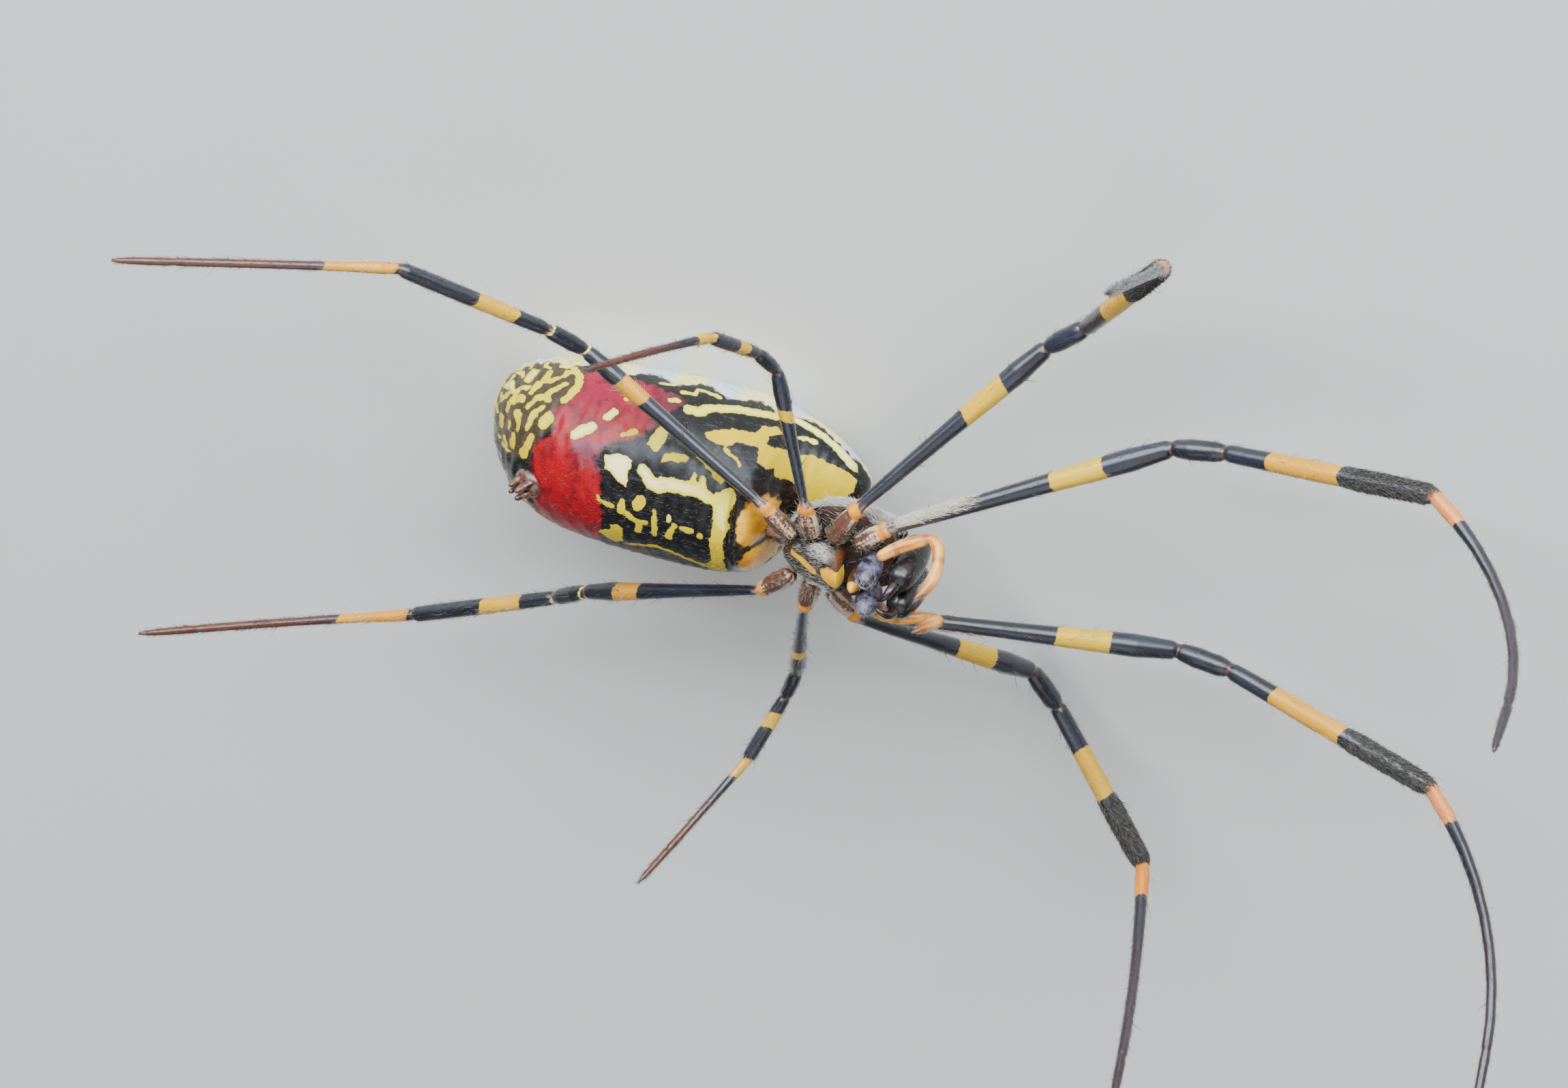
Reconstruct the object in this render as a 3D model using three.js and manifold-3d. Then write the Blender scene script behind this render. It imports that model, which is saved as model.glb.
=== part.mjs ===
// A golden silk orb weaver, adult female, lying on its back with the belly up and its legs raised.
// Millimetres. +X is towards the head, +Y is the spider's right, +Z is up, which is its belly side.
// The origin is where its back rests, under the middle of the abdomen.
import * as THREE from "three";
import { mergeVertices } from "three/addons/utils/BufferGeometryUtils.js";
import Module from "manifold-3d";

const wasm = await Module();
wasm.setup();

// Driving dimensions
const JOINT_GAP = 0.28; // space kept between two pieces that meet
const PRESSED = 0.4; // how far the soft back is flattened by its own weight
const FLOOR = 0;

// Each station of a trunk piece: x, lowest z, highest z, half width. Its ends are points.
const ABDOMEN = {
  widest: 0.5,
  around: 32,
  along: 28,
  stations: [
    [-11.0, 2.8, 2.8, 0],
    [-10.75, 1.5, 4.0, 1.35],
    [-10.0, 0.45, 5.7, 2.6],
    [-8.6, -0.15, 7.5, 3.65],
    [-6.5, -PRESSED, 8.75, 4.4],
    [-3.5, -PRESSED, 9.4, 4.75],
    [0.0, -PRESSED, 9.75, 4.9],
    [2.5, -PRESSED, 10.05, 4.7],
    [4.2, -0.3, 9.9, 4.4],
    [5.05, 0, 9.2, 4.15],
    [5.6, 0.3, 8.1, 3.9],
    [6.3, 0.7, 7.0, 3.6],
    [7.5, 1.25, 6.3, 3.05],
    [8.9, 2.15, 5.8, 2.15],
    [9.85, 3.0, 5.2, 1.15],
    [10.1, 4.1, 4.1, 0],
  ],
};
const CARAPACE = {
  widest: 0.9,
  around: 24,
  along: 18,
  stations: [
    [6.5, 8.4, 8.4, 0],
    [6.75, 8.0, 8.75, 0.9],
    [7.5, 7.35, 8.9, 2.1],
    [8.6, 6.85, 8.95, 2.9],
    [9.8, 6.55, 8.95, 3.15],
    [10.9, 6.35, 8.95, 2.8],
    [11.7, 6.15, 8.95, 2.2],
    [12.35, 6.35, 8.9, 1.85],
    [12.68, 6.9, 8.75, 1.45],
    [12.75, 7.9, 7.9, 0],
  ],
};
const STERNUM = {
  widest: 0.4,
  around: 16,
  along: 10,
  stations: [
    [6.75, 9.6, 9.6, 0],
    [6.95, 9.3, 9.95, 0.5],
    [7.8, 9.22, 10.3, 1.15],
    [8.8, 9.22, 10.75, 1.5],
    [9.8, 9.22, 11.15, 1.45],
    [10.25, 9.3, 11.2, 0.95],
    [10.42, 10.3, 10.3, 0],
  ],
};

// The eight legs. Angles are [azimuth from +X towards the leg's own side, elevation], in degrees.
// The hip is where the coxa leaves the body and the seat is where the femur starts: x, y outwards, z.
const PAIRS = [
  {
    hip: [11.2, 1.95, 9.92],
    seat: [12.64, 3.06, 9.61],
    lengths: { femur: 15.6, patella: 3.0, tibia: 12.4, metatarsus: 14.8, tarsus: 3.4 },
    stout: 1.12,
    right: { femur: [21, -16], patella: [11, 4], tibia: [11, 13], ankle: [-21, 28], toe: [-24, 87] },
    left: { femur: [13, -20], patella: [6, 7], tibia: [14, 13], ankle: [43, 21], toe: [86, 55] },
  },
  {
    hip: [9.7, 1.93, 9.86],
    seat: [10.85, 3.85, 9.32],
    lengths: { femur: 13.3, patella: 2.7, tibia: 9.8, metatarsus: 13.0, tarsus: 3.2 },
    stout: 1.08,
    right: { femur: [45, -24], patella: [41, -1], tibia: [58, 19], ankle: [81, 53], toe: [91, 57] },
    left: { femur: [47, -34], patella: [60, -5], tibia: [54, 15], ankle: [46, 70], toe: [52, 79] },
  },
  {
    hip: [8.4, 1.8, 9.72],
    seat: [8.0, 3.6, 9.7],
    lengths: { femur: 7.6, patella: 1.9, tibia: 4.0, metatarsus: 6.6, tarsus: 2.4 },
    stout: 0.78,
    right: { femur: [107, -16], patella: [120, 21], tibia: [124, 38], ankle: [140, 54], toe: [158, 53] },
    left: { femur: [99, -21], patella: [108, 2], tibia: [116, 32], ankle: [133, 47], toe: [145, 62] },
  },
  {
    hip: [7.2, 1.42, 9.68],
    seat: [5.6, 3.0, 9.6],
    lengths: { femur: 12.2, patella: 2.6, tibia: 8.9, metatarsus: 12.0, tarsus: 3.0 },
    stout: 0.9,
    right: { femur: [149, -11], patella: [139, 18], tibia: [148, 17], ankle: [176, 18], toe: [174, 21] },
    left: { femur: [153, -15], patella: [141, -18], tibia: [156, -3], ankle: [187, 28], toe: [189, 32] },
  },
];

// Radius along each segment, as [share of the length, radius in mm] for a leg of stoutness 1.
// The coxa is as stout on every leg.
const COXA_PROFILE = [[0, 0.48], [0.4, 0.55], [0.66, 0.49], [0.74, 0.42], [0.86, 0.47], [1, 0.42]];
const FEMUR_PROFILE = [[0, 0.3], [0.2, 0.38], [0.4, 0.42], [0.6, 0.49], [0.85, 0.58], [1, 0.46]];
const PATELLA_PROFILE = [[0, 0.42], [0.35, 0.52], [0.8, 0.5], [1, 0.42]];
const TIBIA_PROFILE = [[0.05, 0.44], [0.4, 0.5], [0.8, 0.5], [0.95, 0.48], [1, 0.42]];
const METATARSUS_PROFILE = [[0, 0.36], [0.08, 0.38], [0.22, 0.31], [0.5, 0.27], [0.96, 0.26], [1, 0.22]];
const TARSUS_PROFILE = [[0.06, 0.26], [0.5, 0.24], [0.85, 0.18], [1, 0.09]];
const END_ROUND = 0.16; // length over which a segment's end is rounded
const END_SHARE = 0.55; // radius of the flat end, as a share of the full one
const RING_SPACE = 0.04; // least share of the length between two rings of points
const TURN_STEPS = 8; // straight steps that a bending segment is laid out in
const BEND_READ = 0.55; // share of a path at which its plane of bending is read
const LEAST_BEND = 1e-3; // below this sine of an angle a path counts as straight
const ASIDE = [0.3, 0.2, 1]; // what a straight path's rings are turned towards
const WELD = 1e-4; // points closer than this are one point

// How many flat sides each round piece has, and how many rings are added along it for its bend.
const FACETS = {
  coxa: { sides: 10, bends: 0 },
  femur: { sides: 10, bends: 2 },
  tibia: { sides: 9, bends: 4 },
  metatarsus: { sides: 7, bends: 12 },
  chelicera: { sides: 12, bends: 2 },
  fang: { sides: 7, bends: 3 },
  palpFemur: { sides: 9, bends: 2 },
  palpTarsus: { sides: 9, bends: 8 },
  pedicel: { sides: 10, bends: 0 },
  cone: { sides: 9 },
  mound: { around: 16, along: 10 },
  socket: { around: 10, along: 6 },
  eye: { around: 10, along: 7 },
  lobe: { around: 12, along: 8 },
};

// The mouthparts, given for the right side and mirrored for the left.
const CHELICERA = {
  path: [[13.72, 0.98, 7.75], [13.82, 1.02, 9.2], [13.68, 0.98, 10.5], [13.4, 0.88, 11.6]],
  profile: [[0, 0.56], [0.2, 0.8], [0.5, 0.85], [0.8, 0.8], [0.94, 0.62], [1, 0.46]],
  facets: FACETS.chelicera,
};
const FANG = {
  path: [[13.32, 0.85, 11.96], [13.12, 0.6, 12.28], [12.82, 0.38, 12.34], [12.5, 0.3, 12.12]],
  profile: [[0, 0.25], [0.3, 0.24], [0.7, 0.16], [1, 0.06]],
  facets: FACETS.fang,
};
const PALP_FEMUR = {
  path: [[12.3, 1.92, 10.86], [13.3, 2.42, 10.28], [14.62, 2.7, 9.56]],
  profile: [[0, 0.3], [0.3, 0.36], [0.8, 0.36], [1, 0.3]],
  facets: FACETS.palpFemur,
};
const PALP_TARSUS = {
  path: [[15.04, 2.7, 9.58], [15.38, 2.4, 10.0], [15.5, 1.8, 10.7], [15.3, 1.38, 11.6], [14.85, 1.1, 12.6]],
  profile: [[0, 0.28], [0.14, 0.36], [0.3, 0.33], [0.55, 0.36], [0.8, 0.3], [1, 0.12]],
  facets: FACETS.palpTarsus,
};
const MAXILLA = { at: [11.88, 0.98, 10.82], half: [0.66, 0.6, 1.3] };
const LABIUM = { at: [11.1, 0, 10.5], half: [0.4, 0.42, 1.2] };
const PEDICEL = {
  path: [[5.95, 0, 8.13], [6.12, 0, 8.19], [6.29, 0, 8.25]],
  profile: [[0, 0.55], [1, 0.55]],
  facets: FACETS.pedicel,
};

// Each eye sits on the carapace: share along it from the rear, angle round it from the right side.
const EYE_RADIUS = 0.22;
const EYE_SOCKET = 0.14; // space round an eye in its socket
const EYES = {
  front_median: { along: 0.94, angle: -68 },
  rear_median: { along: 0.865, angle: -78 },
  front_lateral: { along: 0.905, angle: -24 },
  rear_lateral: { along: 0.82, angle: -36 },
};

const SPINNERETS = {
  at: [-7.5, 0, 8.05],
  lean: -32, // towards the rear from straight up, degrees
  mound: { radius: 0.9, stretch: [1.1, 1, 0.8] },
  taper: 0.4, // a cone's tip radius, as a share of its foot's
  cones: [
    { x: 0.4, y: 0.38, length: 1.5, radius: 0.36 },
    { x: 0.4, y: -0.38, length: 1.5, radius: 0.36 },
    { x: -0.38, y: 0.34, length: 1.35, radius: 0.32 },
    { x: -0.38, y: -0.34, length: 1.35, radius: 0.32 },
  ],
};

const cuticle = new THREE.MeshStandardMaterial({ color: 0x15161c, roughness: 0.3, metalness: 0 });
const abdomenSkin = new THREE.MeshStandardMaterial({ color: 0xb9a63c, roughness: 0.45, metalness: 0 });
const carapaceHair = new THREE.MeshStandardMaterial({ color: 0x8d8a86, roughness: 0.8, metalness: 0 });
const coxaBrown = new THREE.MeshStandardMaterial({ color: 0x7a4a2c, roughness: 0.6, metalness: 0 });
const palpOrange = new THREE.MeshStandardMaterial({ color: 0xc27a35, roughness: 0.45, metalness: 0 });
const eyeGlass = new THREE.MeshStandardMaterial({ color: 0x060606, roughness: 0.08, metalness: 0 });

const LEG_MATERIALS = { coxa: coxaBrown, femur: cuticle, tibia: cuticle, metatarsus: cuticle };

const SIDES = { right: 1, left: -1 };
const ORIGIN = new THREE.Vector3();
const radians = THREE.MathUtils.degToRad;
const vector = ([x, y, z]) => new THREE.Vector3(x, y, z);
const mirrored = ([x, y, z], side) => [x, y * side, z];

// The unit vector of an [azimuth, elevation] pair on one side of the body.
function direction([azimuth, elevation], side) {
  const level = Math.cos(radians(elevation));
  return new THREE.Vector3(
    level * Math.cos(radians(azimuth)),
    side * level * Math.sin(radians(azimuth)),
    Math.sin(radians(elevation)),
  );
}

// A trunk piece's surface at a share along it and a turn round it, 0 at the right and +90 at the top.
function shellPoint(shell, along, turn) {
  const sizes = shell.stations;
  const first = new THREE.CatmullRomCurve3(sizes.map(([x, low, high]) => new THREE.Vector3(x, low, high)));
  const second = new THREE.CatmullRomCurve3(sizes.map(([, , , half]) => new THREE.Vector3(half, 0, 0)));
  for (const curve of [first, second]) curve.curveType = "catmullrom";
  const { x, y: low, z: high } = first.getPoint(along);
  const half = Math.max(second.getPoint(along).x, 0);
  const middle = low + (high - low) * shell.widest;
  const reach = Math.sin(turn) > 0 ? high - middle : middle - low;
  return new THREE.Vector3(x, half * Math.cos(turn), Math.max(middle + reach * Math.sin(turn), FLOOR));
}

// A sphere whose rings are carried to a trunk piece's stations.
function shellGeometry(shell) {
  const sphere = new THREE.SphereGeometry(1, shell.around, shell.along);
  const place = sphere.getAttribute("position");
  const at = new THREE.Vector3();
  for (let i = 0; i < place.count; i += 1) {
    at.fromBufferAttribute(place, i);
    const along = 1 - Math.acos(THREE.MathUtils.clamp(at.y, -1, 1)) / Math.PI;
    const turn = Math.atan2(at.x, at.z);
    place.setXYZ(i, ...shellPoint(shell, along, turn));
  }
  return sphere;
}

// The radius at a share of the length, read between a profile's points.
function radiusAt(profile, share) {
  const next = profile.findIndex(([at]) => at >= share);
  if (next <= 0) return profile.at(next)[1];
  const [fromAt, from] = profile[next - 1];
  const [toAt, to] = profile[next];
  return THREE.MathUtils.mapLinear(share, fromAt, toAt, from, to);
}

// The shares of the length that have a ring: the profile's own, and even ones that keep clear of them.
function ringShares(profile, bends, rim) {
  const own = profile.map(([at]) => THREE.MathUtils.clamp(at, rim, 1 - rim));
  const even = Array.from({ length: bends }, (_, i) => (i + 1) / (bends + 1));
  const clear = even.filter((at) => own.every((other) => Math.abs(at - other) > RING_SPACE));
  return [...new Set([...own, ...clear])].sort((a, b) => a - b);
}

// A lathe with rounded ends, whose length is then carried along a curve.
function carried(profile, curve, { sides, bends }) {
  const rim = END_ROUND / curve.getLength();
  const ring = (share) => new THREE.Vector2(radiusAt(profile, share), share);
  const outline = [
    new THREE.Vector2(0, 0),
    new THREE.Vector2(radiusAt(profile, 0) * END_SHARE, 0),
    ...ringShares(profile, bends, rim).map(ring),
    new THREE.Vector2(radiusAt(profile, 1) * END_SHARE, 1),
    new THREE.Vector2(0, 1),
  ];
  const lathe = new THREE.LatheGeometry(outline, sides);
  const place = lathe.getAttribute("position");
  const start = curve.getTangentAt(0);
  const side = new THREE.Vector3().crossVectors(start, curve.getTangentAt(BEND_READ));
  if (side.length() < LEAST_BEND) side.crossVectors(start, vector(ASIDE));
  for (let i = 0; i < place.count; i += 1) {
    const share = THREE.MathUtils.clamp(place.getY(i), 0, 1);
    const tangent = curve.getTangentAt(share);
    const across = side.clone().addScaledVector(tangent, -side.dot(tangent)).normalize();
    const up = new THREE.Vector3().crossVectors(across, tangent);
    const at = curve.getPointAt(share);
    at.addScaledVector(across, place.getX(i)).addScaledVector(up, place.getZ(i));
    place.setXYZ(i, ...at);
  }
  return lathe;
}

// A geometry with each point held once, so that it is one closed surface.
function welded(geometry) {
  const bare = geometry.clone();
  bare.deleteAttribute("normal");
  bare.deleteAttribute("uv");
  return mergeVertices(bare, WELD);
}

// A closed surface with every point moved outwards.
function grown(geometry, by) {
  const larger = welded(geometry);
  larger.computeVertexNormals();
  const place = larger.getAttribute("position");
  const outward = larger.getAttribute("normal");
  const at = new THREE.Vector3();
  for (let i = 0; i < place.count; i += 1) {
    at.fromBufferAttribute(outward, i).multiplyScalar(by);
    place.setXYZ(i, place.getX(i) + at.x, place.getY(i) + at.y, place.getZ(i) + at.z);
  }
  return larger;
}

// A geometry as a solid that can be joined and cut.
function solidOf(geometry) {
  const closed = welded(geometry);
  return new wasm.Manifold(
    new wasm.Mesh({
      numProp: 3,
      vertProperties: closed.getAttribute("position").array,
      triVerts: new Uint32Array(closed.index.array),
    }),
  );
}

// A ball with the number of flat sides that its kind of piece has.
function ball(radius, { around, along }) {
  return new THREE.SphereGeometry(radius, around, along);
}

// The largest closed surface of a solid.
function geometryOf(solid) {
  const bodies = solid.decompose().sort((a, b) => b.volume() - a.volume());
  const mesh = bodies[0].getMesh();
  const geometry = new THREE.BufferGeometry();
  geometry.setAttribute("position", new THREE.BufferAttribute(mesh.vertProperties, 3));
  geometry.setIndex(new THREE.BufferAttribute(mesh.triVerts, 1));
  geometry.computeVertexNormals();
  return geometry;
}

const spider = new THREE.Group();

function add(name, geometry, material, parent = spider) {
  const mesh = new THREE.Mesh(geometry, material);
  mesh.name = name;
  parent.add(mesh);
  return mesh;
}

function addCarried(name, { path, profile, facets }, side, material) {
  const curve = new THREE.CatmullRomCurve3(path.map((point) => vector(mirrored(point, side))));
  add(name, carried(profile, curve, facets), material);
}

// Abdomen, spinnerets and waist
const abdomenGeometry = shellGeometry(ABDOMEN);
add("abdomen", abdomenGeometry, abdomenSkin);

// A low mound with four tapered cones, cut clear of the abdomen that it stands on.
function spinnerets({ at, lean, mound, taper, cones }) {
  let cluster = solidOf(ball(mound.radius, FACETS.mound).scale(...mound.stretch));
  for (const { x, y, length, radius } of cones) {
    const cone = new THREE.CylinderGeometry(radius * taper, radius, length, FACETS.cone.sides);
    cone.rotateX(Math.PI / 2).translate(x, y, length / 2);
    cluster = cluster.add(solidOf(cone));
  }
  const turn = new THREE.Matrix4().makeRotationY(radians(lean)).setPosition(...at);
  const placed = geometryOf(cluster).applyMatrix4(turn);
  return geometryOf(solidOf(placed).subtract(solidOf(grown(abdomenGeometry, JOINT_GAP))));
}
add("spinnerets", spinnerets(SPINNERETS), coxaBrown);
addCarried("pedicel", PEDICEL, 1, coxaBrown);

// Carapace with the sockets of its eight eyes
function eyePlace({ along, angle }, side) {
  const at = shellPoint(CARAPACE, along, radians(angle));
  return new THREE.Vector3(at.x, at.y * side, at.z);
}

let carapace = solidOf(shellGeometry(CARAPACE));
for (const [place, eye] of Object.entries(EYES)) {
  for (const [sideName, side] of Object.entries(SIDES)) {
    const at = eyePlace(eye, side);
    const socket = ball(EYE_RADIUS + EYE_SOCKET, FACETS.socket).translate(at.x, at.y, at.z);
    carapace = carapace.subtract(solidOf(socket));
    add(`eye_${place}_${sideName}`, ball(EYE_RADIUS, FACETS.eye), eyeGlass).position.copy(at);
  }
}
add("carapace", geometryOf(carapace), carapaceHair);
add("sternum", shellGeometry(STERNUM), coxaBrown);

// Mouthparts
function addLobe(name, { at, half }, side, material) {
  const lobe = ball(1, FACETS.lobe).scale(...half);
  add(name, lobe, material).position.set(...mirrored(at, side));
}
addLobe("labium", LABIUM, 1, coxaBrown);
for (const [sideName, side] of Object.entries(SIDES)) {
  addLobe(`maxilla_${sideName}`, MAXILLA, side, coxaBrown);
  addCarried(`chelicera_${sideName}`, CHELICERA, side, cuticle);
  addCarried(`fang_${sideName}`, FANG, side, cuticle);
  addCarried(`palp_${sideName}_femur`, PALP_FEMUR, side, palpOrange);
  addCarried(`palp_${sideName}_tarsus`, PALP_TARSUS, side, palpOrange);
}

// Legs
function scaled(profile, stout, from = 0, share = 1) {
  return profile.map(([at, radius]) => [from + at * share, radius * stout]);
}

// Two segments in one node: both profiles, with a narrow neck where they join.
function twoSegments(first, second, firstLength, secondLength, stout) {
  const share = firstLength / (firstLength + secondLength);
  return [...scaled(first, stout, 0, share), ...scaled(second, stout, share, 1 - share)];
}

// How much a segment is cut back at a joint so that its rounded end clears the next one.
function trim(before, after, profile, stout) {
  const radius = profile.at(-1)[1] * stout;
  return JOINT_GAP / 2 + radius * END_SHARE * Math.tan(before.angleTo(after) / 2);
}

function straight(way, cutStart, cutEnd, length) {
  const start = way.clone().multiplyScalar(cutStart);
  const end = way.clone().multiplyScalar(length - cutEnd);
  return new THREE.LineCurve3(start, end);
}

// From a joint, one segment that turns evenly from its first way to the next one's, then that one.
function turningPath(ways, lengths, cutStart, cutEnd, turns) {
  const [firstWay, nextWay] = ways;
  const bend = turns ? firstWay.angleTo(nextWay) : 0;
  const aside = nextWay.clone().addScaledVector(firstWay, -firstWay.dot(nextWay)).normalize();
  const points = [new THREE.Vector3()];
  for (let i = 0; i < TURN_STEPS; i += 1) {
    const turned = (bend * (i + 0.5)) / TURN_STEPS;
    const way = firstWay.clone().multiplyScalar(Math.cos(turned)).addScaledVector(aside, Math.sin(turned));
    points.push(points[i].clone().addScaledVector(way, lengths[0] / TURN_STEPS));
  }
  const corner = points.at(-1);
  points.push(corner.clone().addScaledVector(nextWay, lengths[1] / 2));
  points.push(corner.clone().addScaledVector(nextWay, lengths[1] - cutEnd));
  points[0].addScaledVector(firstWay, cutStart);
  return new THREE.CatmullRomCurve3(points);
}

function addLeg(name, { hip, seat, lengths, stout }, pose, side) {
  const { femur, patella, tibia, metatarsus, tarsus } = lengths;
  const [start, socket] = [hip, seat].map((point) => vector(mirrored(point, side)));
  const leg = new THREE.Group();
  leg.position.copy(start);
  spider.add(leg);
  const reach = socket.clone().sub(start);
  const coxaWay = reach.clone().normalize();
  const way = Object.fromEntries(Object.entries(pose).map(([key, angles]) => [key, direction(angles, side)]));
  const hipCut = trim(coxaWay, way.femur, COXA_PROFILE, 1);
  const kneeCut = trim(way.femur, way.patella, FEMUR_PROFILE, stout);
  const ankleCut = trim(way.tibia, way.ankle, TIBIA_PROFILE, stout);

  function addSegment(segment, profile, curve, at) {
    add(`${name}_${segment}`, carried(profile, curve, FACETS[segment]), LEG_MATERIALS[segment], leg);
    leg.children.at(-1).position.copy(at);
  }
  addSegment("coxa", COXA_PROFILE, straight(coxaWay, 0, hipCut, reach.length()), ORIGIN);
  addSegment("femur", scaled(FEMUR_PROFILE, stout), straight(way.femur, hipCut, kneeCut, femur), reach);

  const knee = reach.clone().addScaledVector(way.femur, femur);
  const shin = turningPath([way.patella, way.tibia], [patella, tibia], kneeCut, ankleCut, false);
  addSegment("tibia", twoSegments(PATELLA_PROFILE, TIBIA_PROFILE, patella, tibia, stout), shin, knee);

  const ankle = knee.clone().addScaledVector(way.patella, patella).addScaledVector(way.tibia, tibia);
  const foot = turningPath([way.ankle, way.toe], [metatarsus, tarsus], ankleCut, 0, true);
  const footProfile = twoSegments(METATARSUS_PROFILE, TARSUS_PROFILE, metatarsus, tarsus, stout);
  addSegment("metatarsus", footProfile, foot, ankle);
}

for (const [index, pair] of PAIRS.entries()) {
  for (const [sideName, side] of Object.entries(SIDES)) {
    addLeg(`leg_${sideName}_${index + 1}`, pair, pair[sideName], side);
  }
}

export default spider;
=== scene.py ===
"""Dresses the solids of a life-size golden silk orb weaver with skin, markings, eyes and hair.

Millimetres throughout, turned into metres where a mesh is made. +X is towards the head, +Y is the
spider's right and +Z is its belly side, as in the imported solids.
"""

import math

import bpy
import numpy as np
from mathutils import Matrix, Vector


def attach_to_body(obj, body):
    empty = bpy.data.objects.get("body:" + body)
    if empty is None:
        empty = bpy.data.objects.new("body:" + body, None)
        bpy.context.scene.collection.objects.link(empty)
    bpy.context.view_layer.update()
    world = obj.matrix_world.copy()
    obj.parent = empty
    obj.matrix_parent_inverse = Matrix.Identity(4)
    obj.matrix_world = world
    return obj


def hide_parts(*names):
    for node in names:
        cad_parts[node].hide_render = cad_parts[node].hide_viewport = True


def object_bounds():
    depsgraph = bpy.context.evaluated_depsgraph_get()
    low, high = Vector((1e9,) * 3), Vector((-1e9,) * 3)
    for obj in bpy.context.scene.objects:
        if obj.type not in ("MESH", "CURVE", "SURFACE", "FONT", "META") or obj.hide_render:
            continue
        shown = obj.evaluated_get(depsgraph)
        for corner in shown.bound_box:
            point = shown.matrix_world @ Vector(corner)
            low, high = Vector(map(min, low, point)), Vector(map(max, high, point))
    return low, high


bl_info = {
    "name": "Golden silk orb weaver",
    "version": (1, 0, 0),
    "blender": (4, 5, 0),
    "location": "3D View > Sidebar > Orb weaver",
    "description": "Skin, markings, eyes and hair of a life-size orb weaver, over its solids",
    "category": "Add Mesh",
}

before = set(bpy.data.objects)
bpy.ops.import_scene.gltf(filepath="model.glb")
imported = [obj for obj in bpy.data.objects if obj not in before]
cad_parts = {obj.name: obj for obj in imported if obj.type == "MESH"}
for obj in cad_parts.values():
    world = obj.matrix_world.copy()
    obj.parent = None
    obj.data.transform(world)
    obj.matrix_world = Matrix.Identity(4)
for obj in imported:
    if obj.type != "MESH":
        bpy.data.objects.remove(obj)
CAD_BOX = [list(corner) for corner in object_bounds()]

MM = 0.001
BOX = [np.array(corner) / MM for corner in CAD_BOX]  # no hair or claw leaves it
SIDES = {"right": 1, "left": -1}
FAR = 99.0  # farther than any place is from a marking
PRESSED = 0.4  # how far the soft back is flattened by the body's weight

# A trunk piece's stations: x, lowest z, highest z, half width. widest is the height share of its width,
# rings and sides are its skin's grid, and inset is how far the skin lies inside the solid.
ABDOMEN = {
    "rings": 296, "sides": 312, "inset": 0.05, "widest": 0.5,
    "stations": [
        (-11.0, 2.8, 2.8, 0), (-10.75, 1.5, 4.0, 1.35), (-10.0, 0.45, 5.7, 2.6),
        (-8.6, -0.15, 7.5, 3.65), (-6.5, -PRESSED, 8.75, 4.4), (-3.5, -PRESSED, 9.4, 4.75),
        (0.0, -PRESSED, 9.75, 4.9), (2.5, -PRESSED, 10.05, 4.7), (4.2, -0.3, 9.9, 4.4),
        (5.05, 0, 9.2, 4.15), (5.6, 0.3, 8.1, 3.9), (6.3, 0.7, 7.0, 3.6), (7.5, 1.25, 6.3, 3.05),
        (8.9, 2.15, 5.8, 2.15), (9.85, 3.0, 5.2, 1.15), (10.1, 4.1, 4.1, 0),
    ],
}
CARAPACE = {
    "rings": 150, "sides": 160, "inset": 0.08, "widest": 0.9,
    "stations": [
        (6.5, 8.4, 8.4, 0), (6.75, 8.0, 8.75, 0.9), (7.5, 7.35, 8.9, 2.1), (8.6, 6.85, 8.95, 2.9),
        (9.8, 6.55, 8.95, 3.15), (10.9, 6.35, 8.95, 2.8), (11.7, 6.15, 8.95, 2.2),
        (12.35, 6.35, 8.9, 1.85), (12.68, 6.9, 8.75, 1.45), (12.75, 7.9, 7.9, 0),
    ],
}
STERNUM = {
    "rings": 110, "sides": 120, "inset": 0.04, "widest": 0.4,
    "stations": [
        (6.75, 9.6, 9.6, 0), (6.95, 9.3, 9.95, 0.5), (7.8, 9.22, 10.3, 1.15), (8.8, 9.22, 10.75, 1.5),
        (9.8, 9.22, 11.15, 1.45), (10.25, 9.3, 11.2, 0.95), (10.42, 10.3, 10.3, 0),
    ],
}

# The legs: hip and seat of the femur, segment lengths and ways as (azimuth, elevation) in degrees.
SEGMENTS = ("coxa", "femur", "patella", "tibia", "metatarsus", "tarsus")
PAIRS = [
    {
        "hip": (11.2, 1.95, 9.92), "seat": (12.64, 3.06, 9.61), "lengths": (15.6, 3.0, 12.4, 14.8, 3.4),
        "stout": 1.12,
        "right": ((21, -16), (11, 4), (11, 13), (-21, 28), (-24, 87)),
        "left": ((13, -20), (6, 7), (14, 13), (43, 21), (86, 55)),
    },
    {
        "hip": (9.7, 1.93, 9.86), "seat": (10.85, 3.85, 9.32), "lengths": (13.3, 2.7, 9.8, 13.0, 3.2),
        "stout": 1.08,
        "right": ((45, -24), (41, -1), (58, 19), (81, 53), (91, 57)),
        "left": ((47, -34), (60, -5), (54, 15), (46, 70), (52, 79)),
    },
    {
        "hip": (8.4, 1.8, 9.72), "seat": (8.0, 3.6, 9.7), "lengths": (7.6, 1.9, 4.0, 6.6, 2.4),
        "stout": 0.78,
        "right": ((107, -16), (120, 21), (124, 38), (140, 54), (158, 53)),
        "left": ((99, -21), (108, 2), (116, 32), (133, 47), (145, 62)),
    },
    {
        "hip": (7.2, 1.42, 9.68), "seat": (5.6, 3.0, 9.6), "lengths": (12.2, 2.6, 8.9, 12.0, 3.0),
        "stout": 0.9,
        "right": ((149, -11), (139, 18), (148, 17), (176, 18), (174, 21)),
        "left": ((153, -15), (141, -18), (156, -3), (187, 28), (189, 32)),
    },
]
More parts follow.
